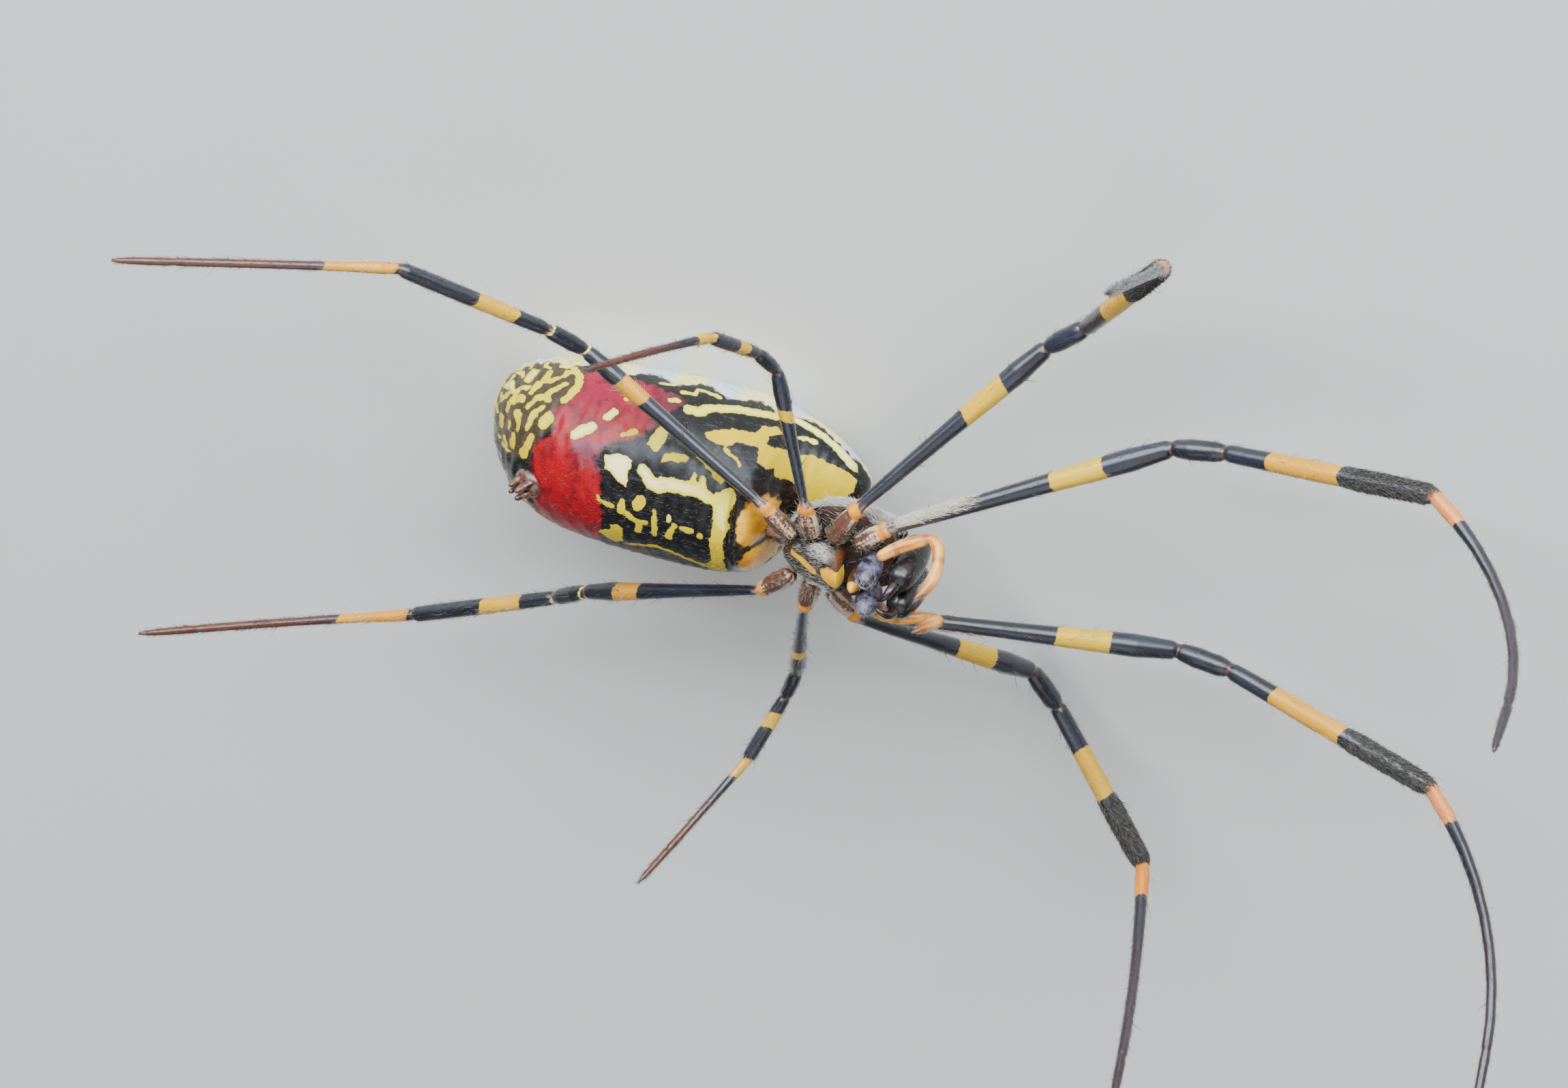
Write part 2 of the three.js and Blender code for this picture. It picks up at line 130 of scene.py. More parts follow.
# Radius along each segment, as (share of its length, radius) on a leg of stoutness 1. The coxa's stays.
LEG_PROFILES = {
    "coxa": [(0, 0.48), (0.4, 0.55), (0.66, 0.49), (0.74, 0.42), (0.86, 0.47), (1, 0.42)],
    "femur": [(0, 0.3), (0.2, 0.38), (0.4, 0.42), (0.6, 0.49), (0.85, 0.58), (1, 0.46)],
    "patella": [(0, 0.42), (0.35, 0.52), (0.8, 0.5), (1, 0.42)],
    "tibia": [(0.05, 0.44), (0.4, 0.5), (0.8, 0.5), (0.95, 0.48), (1, 0.42)],
    "metatarsus": [(0, 0.36), (0.08, 0.38), (0.22, 0.31), (0.5, 0.27), (0.96, 0.26), (1, 0.22)],
    "tarsus": [(0.06, 0.26), (0.5, 0.24), (0.85, 0.18), (1, 0.09)],
}
# Coloured bands of each pair: segment, start and end as shares of it, and tone (see the markings).
LEG_BANDS = [
    [("femur", 0.58, 0.77, 2.1), ("tibia", 0.22, 0.57, 2.5), ("metatarsus", 0.0, 0.15, 3.4)],
    [("femur", 0.56, 0.77, 2.2), ("tibia", 0.28, 0.58, 2.3), ("metatarsus", 0.0, 0.18, 2.9)],
    [("femur", 0.63, 0.72, 2.2), ("tibia", 0.27, 0.5, 2.3), ("metatarsus", 0.0, 0.2, 2.4)],
    [("femur", 0.67, 0.81, 2.6), ("tibia", 0.22, 0.5, 2.3), ("metatarsus", 0.02, 0.34, 2.6),
     ("patella", 0.0, 0.07, 0.2), ("patella", 0.94, 1.0, 0.2)],
]
TROCHANTER_BAND = ("coxa", 0.74, 0.99, 2.8)
RUFF_LENGTH = 5.0  # length of the white hairs on the first pair's femora, from their bases
FOOT_RED = (0.15, 0.2, 0.9, 0.85)  # how far each pair's foot turns from black to red brown
HIP_LEAD = 0.3  # how far a leg's skin runs on into the body at the hip
TURN_STEPS = 8  # straight steps that the bending metatarsus is laid out in
LEG_STEP = 0.09  # between a leg's rings
LEG_SIDES = 28
LEG_INSET = 0.015  # how far a leg's skin lies inside its solid
LEG_PINCH = 0.16  # how much thinner a leg is at a joint, as a share
OFF_BAND = -9.0  # the depth of a place on a leg that is in no band

HORN_INSET = 0.012  # how far the skin of a mouthpart lies inside its solid
CHELICERA = {
    "path": [(13.72, 0.98, 7.75), (13.82, 1.02, 9.2), (13.68, 0.98, 10.5), (13.4, 0.88, 11.6)],
    "profile": [(0, 0.56), (0.2, 0.8), (0.5, 0.85), (0.8, 0.8), (0.94, 0.66), (1, 0.56)],
}
FANG = {
    "path": [
        (13.46, 0.88, 11.45), (13.34, 0.84, 11.96), (13.12, 0.6, 12.26), (12.82, 0.38, 12.32),
        (12.5, 0.3, 12.1),
    ],
    "profile": [(0, 0.34), (0.25, 0.27), (0.5, 0.22), (0.8, 0.13), (1, 0.06)],
}
PALP = {
    "path": [
        (12.3, 1.92, 10.86), (13.3, 2.42, 10.28), (14.62, 2.7, 9.56), (15.04, 2.7, 9.58),
        (15.38, 2.4, 10.0), (15.5, 1.8, 10.7), (15.3, 1.38, 11.6), (14.85, 1.1, 12.6),
    ],
    "profile": [(0, 0.3), (0.15, 0.36), (0.35, 0.36), (0.42, 0.28), (0.5, 0.36), (0.6, 0.33),
                (0.75, 0.36), (0.9, 0.3), (1, 0.1)],
    "joints": (0.16, 0.4, 0.62),  # shares of its length
}
MAXILLA = {"at": (11.88, 0.98, 10.82), "half": (0.66, 0.6, 1.3)}
LABIUM = {"at": (11.1, 0, 10.5), "half": (0.4, 0.42, 1.2)}
PEDICEL = {"path": [(5.6, 0, 8.0), (6.12, 0, 8.19), (6.7, 0, 8.4)], "radius": 0.53}
EYE_RADIUS = 0.22
PIT = 9.2  # x of the pit in the middle of the carapace
FURROW_BEARINGS = (0.8, 1.35, 1.95, 2.5)  # of the furrows from the pit, in radians from the head's way
FURROW_X = 3.98  # x of the furrow across the belly
HIP_BUMPS = ((7.6, 0.75), (8.5, 1.1), (9.6, 1.1))  # x and distance from the midline on the breast plate
EYES = {  # share of the way through the carapace's stations, and degrees round it
    "front_median": (0.94, -68), "rear_median": (0.865, -78),
    "front_lateral": (0.905, -24), "rear_lateral": (0.82, -36),
}
SPINNERETS = {
    "at": (-7.5, 0, 8.05),
    "lean": -32,
    "mound": (0.92, 0.84, 0.6),
    "cones": [  # x, y, length, foot radius
        (0.4, 0.34, 1.3, 0.3), (0.4, -0.34, 1.3, 0.3),
        (-0.38, 0.3, 1.2, 0.27), (-0.38, -0.3, 1.2, 0.27),
        (0.0, 0.15, 0.95, 0.13), (0.0, -0.15, 0.95, 0.13),
    ],
}

# Markings of the abdomen. Places are (x, degrees round from the belly's midline to the right).
# A tone runs 0 cream, 1 pale yellow, 2 golden yellow, 3 orange, 4 salmon.
# A stroke is (tone, half width at its start, at its end, places), and a patch is (tone, places).
NET_STROKES = [  # the pale net over the rear of each flank
    (1.0, 0.27, 0.24, [(-8.6, 94), (-8.8, 84)]),
    (0.8, 0.11, 0.09, [(-9.7, 96), (-9.3, 92), (-9.2, 87)]),
    (0.8, 0.14, 0.24, [(-9.9, 90), (-10.1, 80)]),
    (0.8, 0.27, 0.1, [(-9.9, 79), (-9.5, 68)]),
    (0.8, 0.15, 0.12, [(-10.5, 90), (-10.7, 78)]),
    (0.9, 0.11, 0.15, [(-9.3, 69), (-9.1, 73), (-8.6, 76)]),
    (1.1, 0.12, 0.2, [(-8.3, 71), (-8.2, 76), (-8.0, 80)]),
    (1.2, 0.15, 0.2, [(-7.7, 94), (-7.8, 85)]),
    (1.2, 0.21, 0.11, [(-7.8, 84), (-7.4, 84), (-6.9, 89)]),
    (1.1, 0.12, 0.2, [(-6.8, 90), (-6.6, 95), (-6.2, 97)]),
    (1.1, 0.2, 0.2, [(-6.2, 97), (-5.9, 92), (-5.8, 84), (-6.1, 73), (-6.3, 70)]),
    (1.2, 0.11, 0.18, [(-6.5, 83), (-6.7, 80), (-7.1, 76), (-7.4, 70), (-7.2, 68)]),
    (1.2, 0.18, 0.1, [(-7.4, 70), (-7.9, 67), (-8.1, 63), (-8.3, 58)]),
    (1.2, 0.12, 0.22, [(-9.6, 48), (-9.5, 56), (-9.2, 62), (-8.8, 64)]),
    (1.2, 0.24, 0.08, [(-8.8, 50), (-8.6, 44), (-8.6, 38)]),
    (1.1, 0.2, 0.08, [(-7.9, 50), (-7.8, 54), (-7.6, 58), (-7.3, 62)]),
    (1.1, 0.29, 0.34, [(-7.1, 50), (-6.9, 54)]),
    (1.0, 0.12, 0.12, [(-8.0, 42), (-7.9, 48)]),
    (1.3, 0.07, 0.1, [(-9.2, 34), (-9.2, 40)]),
    (1.8, 0.17, 0.12, [(-9.9, 37), (-9.8, 29)]),
    (1.4, 0.14, 0.1, [(-10.6, 44), (-10.3, 41)]),
    (1.4, 0.1, 0.1, [(-10.4, 66), (-10.2, 57), (-9.9, 63), (-9.8, 68)]),
    (1.9, 0.1, 0.18, [(-8.8, 32), (-8.8, 23)]),
    (1.8, 0.16, 0.24, [(-7.6, 38), (-7.8, 30), (-8.0, 22)]),
    (1.7, 0.12, 0.08, [(-9.4, 22), (-9.2, 18)]),
]
FLANK_STROKES = [
    (0.4, 0.22, 0.3, [(-5.2, 48), (-4.9, 51)]),
    (0.4, 0.3, 0.24, [(-4.9, 51), (-4.3, 56)]),
    (0.2, 0.18, 0.2, [(-3.7, 64), (-3.4, 69)]),
    (0.9, 0.12, 0.13, [(-3.0, 80), (-2.8, 84)]),
    (1.6, 0.1, 0.15, [(-2.6, 55), (-2.0, 59)]),
    (0.5, 0.08, 0.1, [(-1.6, 100), (-0.9, 101), (-0.6, 107), (-0.1, 107)]),
    (0.8, 0.1, 0.13, [(-0.3, 95), (0.4, 96), (0.4, 102), (1.0, 102), (1.7, 100)]),
    (0.9, 0.14, 0.14, [(-0.7, 86), (-0.3, 87)]),
    (1.0, 0.27, 0.28, [(0.4, 82), (1.0, 82), (1.3, 87), (1.9, 90), (3.0, 95), (4.2, 98), (4.8, 100)]),
    (0.7, 0.27, 0.32, [(5.6, 101), (6.4, 97), (7.1, 95), (7.8, 93), (8.4, 91), (9.0, 86)]),
    (0.4, 0.12, 0.16, [(6.2, 78), (7.0, 80)]),
    (1.8, 0.08, 0.05, [(2.9, 64), (3.2, 61), (3.6, 60), (3.9, 56)]),
    (1.8, 0.18, 0.22, [(1.7, 55), (2.1, 53), (2.6, 49), (3.1, 45)]),
]
FLANK_PATCHES = [
    (1.9, [
        (1.7, 70), (2.6, 76), (3.4, 79), (4.2, 80), (4.4, 87), (5.1, 89), (5.4, 82), (4.8, 80),
        (4.9, 72), (5.3, 69), (6.5, 60), (7.1, 63), (8.1, 63), (9.1, 68), (9.4, 64), (9.4, 42),
        (8.9, 20), (7.9, 11), (7.4, 12), (6.9, 25), (6.4, 35), (5.6, 43), (5.5, 51), (4.7, 60),
        (4.6, 70), (4.2, 71), (3.4, 70), (3.0, 66), (2.4, 65), (1.8, 67),
    ]),
    (1.1, [
        (-1.2, 53), (-1.0, 59), (-0.8, 64), (-0.5, 70), (-0.3, 68), (-0.2, 64), (-0.3, 58), (-0.5, 50),
        (-0.8, 50),
    ]),
    (1.5, [(-0.2, 44), (-0.1, 49), (0.3, 51), (0.9, 52), (1.2, 51), (1.1, 48), (0.7, 47), (0.2, 46)]),
]
BELLY_STROKES = [
    (0.8, 0.25, 0.36, [(-1.2, 37), (-0.9, 34), (-0.6, 30), (-0.2, 29)]),
    (0.9, 0.37, 0.34, [(-0.2, 29), (0.2, 31), (0.7, 32), (1.6, 33)]),
    (1.0, 0.34, 0.28, [(1.6, 33), (2.0, 34), (2.3, 32), (2.7, 31)]),
    (1.0, 0.1, 0.16, [(1.7, 42), (1.7, 36)]),
    (1.0, 0.17, 0.2, [(2.2, 41), (2.3, 34)]),
    (1.0, 0.39, 0.37, [(3.4, 30), (3.4, 21), (3.5, 13)]),
    (1.4, 0.35, 0.36, [(3.4, 13), (3.3, 2)]),
    (1.6, 0.34, 0.32, [(3.3, 2), (3.3, -11), (3.3, -26)]),
    (1.8, 0.08, 0.14, [(-1.8, -25), (-0.2, -18), (0.7, -20), (1.6, -24)]),
    (1.9, 0.14, 0.2, [(1.6, -24), (2.5, -29), (3.4, -34)]),
    (1.6, 0.24, 0.28, [(-1.2, 12), (-1.0, 17)]),
    (1.8, 0.1, 0.12, [(-3.4, 12), (-3.3, 10)]),
    (1.8, 0.08, 0.16, [(-3.2, 10), (-2.6, 8)]),
    (1.4, 0.18, 0.18, [(-2.0, 13), (-2.1, 6)]),
    (1.7, 0.16, 0.16, [(-1.7, 5), (-1.5, 3)]),
    (1.7, 0.14, 0.12, [(-1.3, 2), (-1.0, 1), (-0.7, 2)]),
    (1.7, 0.15, 0.17, [(-1.0, 0), (-1.1, -6)]),
    (1.6, 0.1, 0.15, [(-0.2, 12), (-0.2, 4)]),
    (1.6, 0.15, 0.1, [(-0.2, 4), (-0.2, -6)]),
    (0.4, 0.09, 0.1, [(0.6, 11), (0.6, 8)]),
    (1.5, 0.13, 0.17, [(0.9, 6), (0.6, -5)]),
    (1.7, 0.15, 0.16, [(1.4, 5), (1.9, 6)]),
    (1.8, 0.14, 0.14, [(2.4, 4), (2.4, 3)]),
]
BELLY_PATCHES = [
    (0.3, [(-3.3, 40), (-2.5, 43), (-1.8, 41), (-1.9, 33), (-1.9, 24), (-2.4, 26), (-2.8, 31), (-3.2, 32)]),
    (1.1, [
        (2.7, 31), (3.1, 36), (3.4, 39), (3.8, 40), (4.0, 39), (4.0, 31), (3.8, 22), (3.2, 20),
        (3.1, 26), (2.8, 28),
    ]),
    (1.6, [
        (-3.4, -20), (-3.0, -14), (-2.7, -14), (-2.6, -8), (-2.3, -6), (-2.0, -8), (-2.0, -13),
        (-2.1, -23), (-2.5, -27), (-2.9, -24),
    ]),
    (2.0, [(2.5, -28), (2.8, -38), (3.6, -39), (3.6, -18), (3.1, -17)]),
]
CRIMSON = [
    (-6.9, -20), (-7.3, 12), (-7.4, 28), (-7.2, 37), (-6.6, 42), (-6.4, 50), (-6.8, 58), (-6.1, 69),
    (-5.7, 77), (-5.6, 86), (-5.9, 95), (-4.7, 105), (-4.0, 102), (-1.5, 95), (0.2, 88), (-0.6, 70),
    (-1.6, 56), (-3.0, 49), (-3.6, 41), (-3.8, 35), (-3.4, 28), (-3.2, 14), (-3.0, -20),
]
DUSK = [  # a grey and purple shade inside the crimson
    (-5.2, 46), (-4.0, 46), (-2.9, 50), (-3.1, 42), (-3.6, 29), (-4.6, 33), (-5.3, 40),
]
NETWORK = [
    (-11.5, 0), (-8.8, 12), (-8.0, 19), (-7.4, 29), (-7.1, 40), (-6.4, 50), (-6.6, 58), (-6.1, 67),
    (-5.6, 75), (-5.5, 86), (-5.9, 100), (-6.2, 125), (-11.5, 125),
]
MARK_GROWTH = 0.03  # how much wider every mark is than its stroke or outline, in mm
NETWORK_WAVE = 0.6  # spacing of the net's spots where it turns to the back, out of the strokes' reach
DORSAL_EDGE = 106  # where the flank's markings give way to the back's bands and their painted bluish-white sheen, degrees
STERNUM_STROKE = (1.1, 0.18, 0.25, [(7.5, 0.47), (8.1, 0.25), (8.69, -0.02)])  # x, y
STERNUM_PATCH = [
    (9.15, 0.36), (9.61, 0.7), (10.22, 0.56), (10.5, 0.45), (10.5, -0.25), (10.37, -0.77), (9.74, -0.55),
    (9.26, -0.18),
]
BACK_BANDS = [(8.4, 0.55), (5.0, 0.8), (1.4, 0.95), (-2.3, 1.0), (-5.8, 0.85), (-8.6, 0.5)]  # x, half
LUNG_COVERS = {"x": 5.12, "off": 21, "middle": -7, "half": (0.85, 19)}  # degrees round, and half sizes

# A coat is the number of its hairs, their radius, how far they rise from the skin as a share, and the
# name of their length's setting.
COATS = {
    "abdomen_hair": (6000, 0.005, 0.3, "abdomen_hair"),
    "carapace_hair": (14000, 0.011, 0.14, "body_hair"),
    "sternum_hair": (1500, 0.009, 0.12, "mouth_hair"),
    "maxilla_hair": (120, 0.008, 0.4, "mouth_hair"),
    "chelicera_hair": (160, 0.007, 0.4, "mouth_hair"),
    "palp_hair": (300, 0.005, 0.3, "mouth_hair"),
    "hair": (500, 0.006, 0.4, "leg_hair"),  # times the root of the leg's length
    "spines": (1.8, 0.014, 0.5, "spine"),  # times the leg's length
    "fuzz": (260, 0.007, 0.6, "leg_hair"),
    "ruff": (4500, 0.013, 0.0, "ruff"),
    "brush": (4500, 0.012, 0.22, "brush"),
}
HAIR_SIDES = 3
PATCH = 0.003  # how wide one hair's own patch of the map is

TONES = ("cream", "pale_yellow", "golden", "orange", "salmon")
SHIELDS = {  # dark and light colour, colour of the marks if there are any, gloss
    "carapace": ((34, 26, 24), (92, 66, 48), None, 0.2),
    "breast plate": ((24, 19, 12), (66, 54, 34), (246, 180, 0), 0.2),
    "lower lip": ((34, 22, 16), (84, 50, 30), (244, 158, 24), 0.3),
    "mouth lobes": ((26, 22, 30), (108, 102, 128), None, 0.35),
    "jaw": ((5, 4, 5), (16, 11, 11), None, 0.4),
    "fang": ((8, 5, 5), (44, 14, 10), None, 0.5),
    # The waist's light colour is partly its own pinkish brown and partly painted pale highlights on the
    # spinnerets.
    "waist brown": ((26, 13, 11), (132, 84, 68), None, 0.5),
}
HAIR_COLOURS = {  # dark, pale
    "abdomen hair": ((60, 50, 44), (236, 226, 190)),
    "silver hair": ((92, 76, 64), (226, 222, 214)),
    "leg hair": ((14, 13, 16), (232, 222, 200)),
}

FLOOR_REACH = 2500.0
LIT_SPOT = Vector((0.008, 0.0, 0.005))  # where both lights look, in metres
SIGHTED = Vector((8, 0, 9.6))  # a place in the breast plate
SIGHTED_OFF = (-1.0714, 0.607)  # mm from there to the picture's middle, to its right and up


# Curves and surfaces


def hill(value, middle, reach, power=2):
    """A hump of height 1 round a middle: exp(-((value - middle) / reach) ^ power)."""
    return np.exp(-(((value - middle) / reach) ** power))


def mound(x, y, at, half, power=2):
    """A hump of height 1 over two directions: the product of their hills."""
    return hill(x, at[0], half[0], power) * hill(y, at[1], half[1], power)


def ramp(value, start, width):
    """0 up to start and 1 from start + width on, straight between; a negative width turns it round."""
    return np.clip((value - start) / width, 0, 1)


def unit(vectors):
    length = np.linalg.norm(vectors, axis=-1, keepdims=True)
    return vectors / np.maximum(length, 1e-12)


def on_side(place, side):
    """A place on the spider's right, or mirrored to its left where side is -1."""
    return np.asarray(place, float) * (1, side, 1)


def above_floor(grid):
    """The grid with its points that are below the floor lifted onto it."""
    grid[..., 2] = np.maximum(grid[..., 2], 0)
    return grid


def ring_angles(sides):
    return np.linspace(0, 2 * np.pi, sides, endpoint=False)


def catmull(points, share):
    """A uniform Catmull-Rom curve through the points: cubic blends of four neighbours at each share."""
    points = np.asarray(points, float)
    padded = np.vstack([2 * points[:1] - points[1:2], points, 2 * points[-1:] - points[-2:-1]])
    place = np.clip(share, 0, 1) * (len(points) - 1)
    span = np.minimum(place.astype(int), len(points) - 2)
    t = (place - span)[..., None]
    a, b, c, d = (padded[span + k] for k in range(4))
    return 0.5 * (2 * b + (c - a) * t + (2 * a - 5 * b + 4 * c - d) * t**2
                  + (3 * b - a - 3 * c + d) * t**3)


def trunk_surface(shell, share, turn):
    """Each section is an ellipse in two halves: y = half cos(turn), z = middle + reach sin(turn)."""
    x, low, high, half = np.moveaxis(catmull(shell["stations"], share), -1, 0)
    middle = low + (high - low) * shell["widest"]
    reach = np.where(np.sin(turn) > 0, high - middle, middle - low)
    y = np.maximum(half, 0) * np.cos(turn)
    return above_floor(np.stack([x, y, middle + reach * np.sin(turn)], -1))


def run_lengths(points):
    """How far along a polyline each of its points is."""
    return np.concatenate([[0], np.cumsum(np.linalg.norm(np.diff(points, axis=0), axis=1))])


def trunk_grid(shell, turn):
    """A trunk piece's points in rings at even steps along its outline, its normals and its turns."""
    fine = np.linspace(0, 1, 4001)
    run = run_lengths(trunk_surface(shell, fine, np.zeros_like(fine)))
    wanted = (np.arange(shell["rings"]) + 0.5) / shell["rings"]
    share = np.interp(wanted * run[-1], run, fine)
    share, turn = np.broadcast_arrays(share[:, None], turn)
    grid = trunk_surface(shell, share, turn)
    return grid, grid_normals(grid), turn


def grid_normals(points):
    """Cross products of a closed grid's two directions, outwards."""
    along = np.gradient(points, axis=0)
    around = np.roll(points, -1, axis=1) - np.roll(points, 1, axis=1)
    normals = unit(np.cross(along, around))
    outward = points - points.mean(axis=1, keepdims=True)
    return normals * np.sign(np.sum(normals * outward))


def raised(shell, grid, normals, height):
    """The points moved out along their normals by a height, less the skin's inset, above the floor."""
    return above_floor(grid + normals * (height - shell["inset"])[..., None])


def resampled(path, step):
    """A polyline's points at an even step along it, and how far along each is."""
    path = np.asarray(path, float)
    run = run_lengths(path)
    at = np.linspace(0, run[-1], max(int(round(run[-1] / step)), 8) + 1)
    return np.stack([np.interp(at, run, path[:, k]) for k in range(3)], -1), at


def rounded(path, width, step):
    """A path with its corners rounded by a Gaussian mean over width, its ends kept."""
    reach = int(np.ceil(3 * width / step))
    weights = np.exp(-0.5 * (np.arange(-reach, reach + 1) * step / width) ** 2)
    weights /= weights.sum()
    before = 2 * path[0] - path[reach:0:-1]
    after = 2 * path[-1] - path[-2:-reach - 2:-1]
    longer = np.vstack([before, path, after])
    return np.stack([np.convolve(longer[:, k], weights, "valid") for k in range(3)], -1)


def limb_frames(path):
    """Along, across and up of each ring: across is the way that the path turns least towards."""
    tangent = unit(np.gradient(path, axis=0))
    least = np.linalg.eigh(tangent.T @ tangent)[1][:, 0]
    across = unit(least - tangent * (tangent @ least)[:, None])
    return tangent, across, np.cross(tangent, across)


def circles(across, up, sides):
    """Unit circles in each pair of ways: cos a across + sin a up."""
    angle = ring_angles(sides)[:, None]
    return across[:, None] * np.cos(angle) + up[:, None] * np.sin(angle)


def limb_surface(path, radius, sides):
    """Circles of the given radii set square to a path."""
    _, across, up = limb_frames(path)
    return path[:, None] + np.asarray(radius)[:, None, None] * circles(across, up, sides)


def round_ends(radius, at, round_over):
    """Radii that fall as a quarter circle over round_over at both ends."""
    near = ramp(np.minimum(at, at[-1] - at), 0, round_over)
    return radius * np.sqrt(np.maximum(1 - (1 - near) ** 2, 0.0025))


def unrolled(angle, place, width, stretch, start=0.0):
    """Places for streaks along a limb: round a circle of that width, and slowly along it."""
    parts = width * np.cos(angle), width * np.sin(angle), place * stretch + start
    return np.stack(np.broadcast_arrays(*parts), -1)


def ball(centre, radii, rings=24, sides=32):
    """A sphere stretched to three radii: (sin a cos b, sin a sin b, cos a)."""
    a = (np.arange(rings) + 0.5)[:, None] / rings * np.pi
    b = ring_angles(sides)
    sphere = np.stack([np.sin(a) * np.cos(b), np.sin(a) * np.sin(b), np.cos(a) + 0 * b], -1)
    return np.asarray(centre) + sphere * radii


# Meshes


def new_mesh(name, points, faces, material, values=None):
    """A mesh object at the origin from points in millimetres, faces and values of its points."""
    mesh = bpy.data.meshes.new(name)
    mesh.vertices.add(len(points))
    mesh.vertices.foreach_set("co", (points * MM).astype(np.float32).ravel())
    corners = np.concatenate([face.ravel() for face in faces])
    sizes = np.concatenate([np.full(len(face), face.shape[1]) for face in faces])
    mesh.loops.add(len(corners))
    mesh.loops.foreach_set("vertex_index", corners.astype(np.int32))
    mesh.polygons.add(len(sizes))
    mesh.polygons.foreach_set("loop_start", (np.cumsum(sizes) - sizes).astype(np.int32))
    mesh.polygons.foreach_set("use_smooth", np.ones(len(sizes), bool))
    mesh.update(calc_edges=True)
    for key, value in (values or {}).items():
        wide = value.ndim == 2
        layer = mesh.attributes.new(key, "FLOAT_VECTOR" if wide else "FLOAT", "POINT")
        layer.data.foreach_set("vector" if wide else "value", value.astype(np.float32).ravel())
    mesh.materials.append(material)
    made = bpy.data.objects.new(name, mesh)
    bpy.context.scene.collection.objects.link(made)
    return made


def closed_faces(rings, sides):
    """Quads of a grid closed round, with a fan to a pole at each end: poles follow the grid's points."""
    index = np.arange(rings * sides).reshape(rings, sides)
    ahead = np.roll(index, -1, axis=1)
    quads = np.stack([index[:-1], ahead[:-1], ahead[1:], index[1:]], -1).reshape(-1, 4)
    start, end = rings * sides, rings * sides + 1
    low = np.stack([ahead[0], index[0], np.full(sides, start)], -1)
    high = np.stack([index[-1], ahead[-1], np.full(sides, end)], -1)
    return quads, np.concatenate([low, high])


def inside_out(points, quads):
    """Whether the faces enclose a negative volume."""
    a, b, c, d = (points[quads[:, k]] for k in range(4))
    centre = points.mean(axis=0)
    return np.sum(np.cross(c - a, d - b) * (a - centre)) < 0


def with_poles(value):
    """A grid's values as its points' values, with each pole given its ring's mean."""
    flat = value.reshape(-1, *value.shape[2:])
    return np.concatenate([flat, value[:1].mean(axis=1), value[-1:].mean(axis=1)])


def closed_parts(parts):
    """Points and faces of several closed grids in one mesh, each with its poles, faces outwards."""
    points, quads, fans, count = [], [], [], 0
    for grid in parts:
        body = with_poles(grid)
        quad, fan = closed_faces(*grid.shape[:2])
        if inside_out(body, quad):
            quad, fan = quad[:, ::-1], fan[:, ::-1]
        points.append(body)
        quads.append(quad + count)
        fans.append(fan + count)
        count += len(body)
    return np.vstack(points), [np.vstack(quads), np.vstack(fans)]


def attach(piece, replaced=()):
    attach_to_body(piece, "root")
    if replaced:
        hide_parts(*replaced)


def skin(name, grid, material, replaced, values=None):
    """One closed grid as a piece of the spider."""
    values = {key: with_poles(value) for key, value in (values or {}).items()}
    attach(new_mesh(name, *closed_parts([grid]), material, values), replaced)


# Hair


def hairs(name, roots, ways, bends, lengths, radii, places, values, material):
    """Tapered three-sided hairs: two rings and a tip each, bent from their way towards their bend."""
    count = len(roots)
    helper = np.where(np.abs(ways[:, 2:3]) < 0.9, [[0.0, 0.0, 1.0]], [[1.0, 0.0, 0.0]])
    across = unit(np.cross(ways, helper))
    ring = circles(across, np.cross(ways, across), HAIR_SIDES)
    reach = lengths[:, None]
    foot = roots - ways * radii[:, None]
    middle = roots + ways * reach * 0.5 + bends * reach * 0.1
    tip = roots + ways * reach * 0.86 + bends * reach * 0.45
    wide = radii[:, None, None]
    points = np.concatenate(
        [foot[:, None] + ring * wide, middle[:, None] + ring * wide * 0.75, tip[:, None]], axis=1)
    size = 2 * HAIR_SIDES + 1
    start = size * np.arange(count)[:, None, None]
    k = np.arange(HAIR_SIDES)
    n = (k + 1) % HAIR_SIDES
    quads = np.stack([k, n, n + HAIR_SIDES, k + HAIR_SIDES], -1) + start
    fans = np.stack([k + HAIR_SIDES, n + HAIR_SIDES, np.full(HAIR_SIDES, size - 1)], -1) + start
    faces = [quads.reshape(-1, 4), fans.reshape(-1, 3), (k[::-1] + start).reshape(-1, 3)]
    spread = {key: np.repeat(value, size, axis=0) for key, value in values.items()}
    spread["tip"] = np.tile([0.0] * HAIR_SIDES + [0.5] * HAIR_SIDES + [1.0], count)
    points = np.clip(points, *BOX).reshape(-1, 3)
    piece = new_mesh(name, points, faces, material, spread)
    within = np.array([[0, 0], [0.5, 0], [1, 0], [0, 0.5], [0.5, 0.5], [1, 0.5], [0.5, 1]])
    spots = (places * (1 - PATCH))[:, None] + within * PATCH
    corners = np.concatenate([face.ravel() for face in faces])
    layer = piece.data.uv_layers.new(name="OFBake")
    layer.data.foreach_set("uv", spots.reshape(-1, 2)[corners].astype(np.float32).ravel())
    attach(piece)


def picked(rng, grid, weights, count):
    """Random cells of a closed grid, more where their area and weight are larger, and places in them."""
    sides = grid.shape[1]
    tall = np.linalg.norm(grid[1:] - grid[:-1], axis=-1)
    wide = np.linalg.norm(np.roll(grid, -1, axis=1) - grid, axis=-1)[:-1]
    chance = (tall * wide * weights[:-1]).ravel()
    cell = rng.choice(chance.size, count, p=chance / chance.sum())
    return cell // sides, cell % sides, rng.random(count), rng.random(count)


def on_grid(value, picks):
    """Values of a closed grid at picked places, mixed from each cell's four corners."""
    ring, side, s, t = picks
    ahead = (side + 1) % value.shape[1]
    if value.ndim == 3:
        s, t = s[:, None], t[:, None]
    low = value[ring, side] * (1 - t) + value[ring, ahead] * t
    high = value[ring + 1, side] * (1 - t) + value[ring + 1, ahead] * t
    return low * (1 - s) + high * s


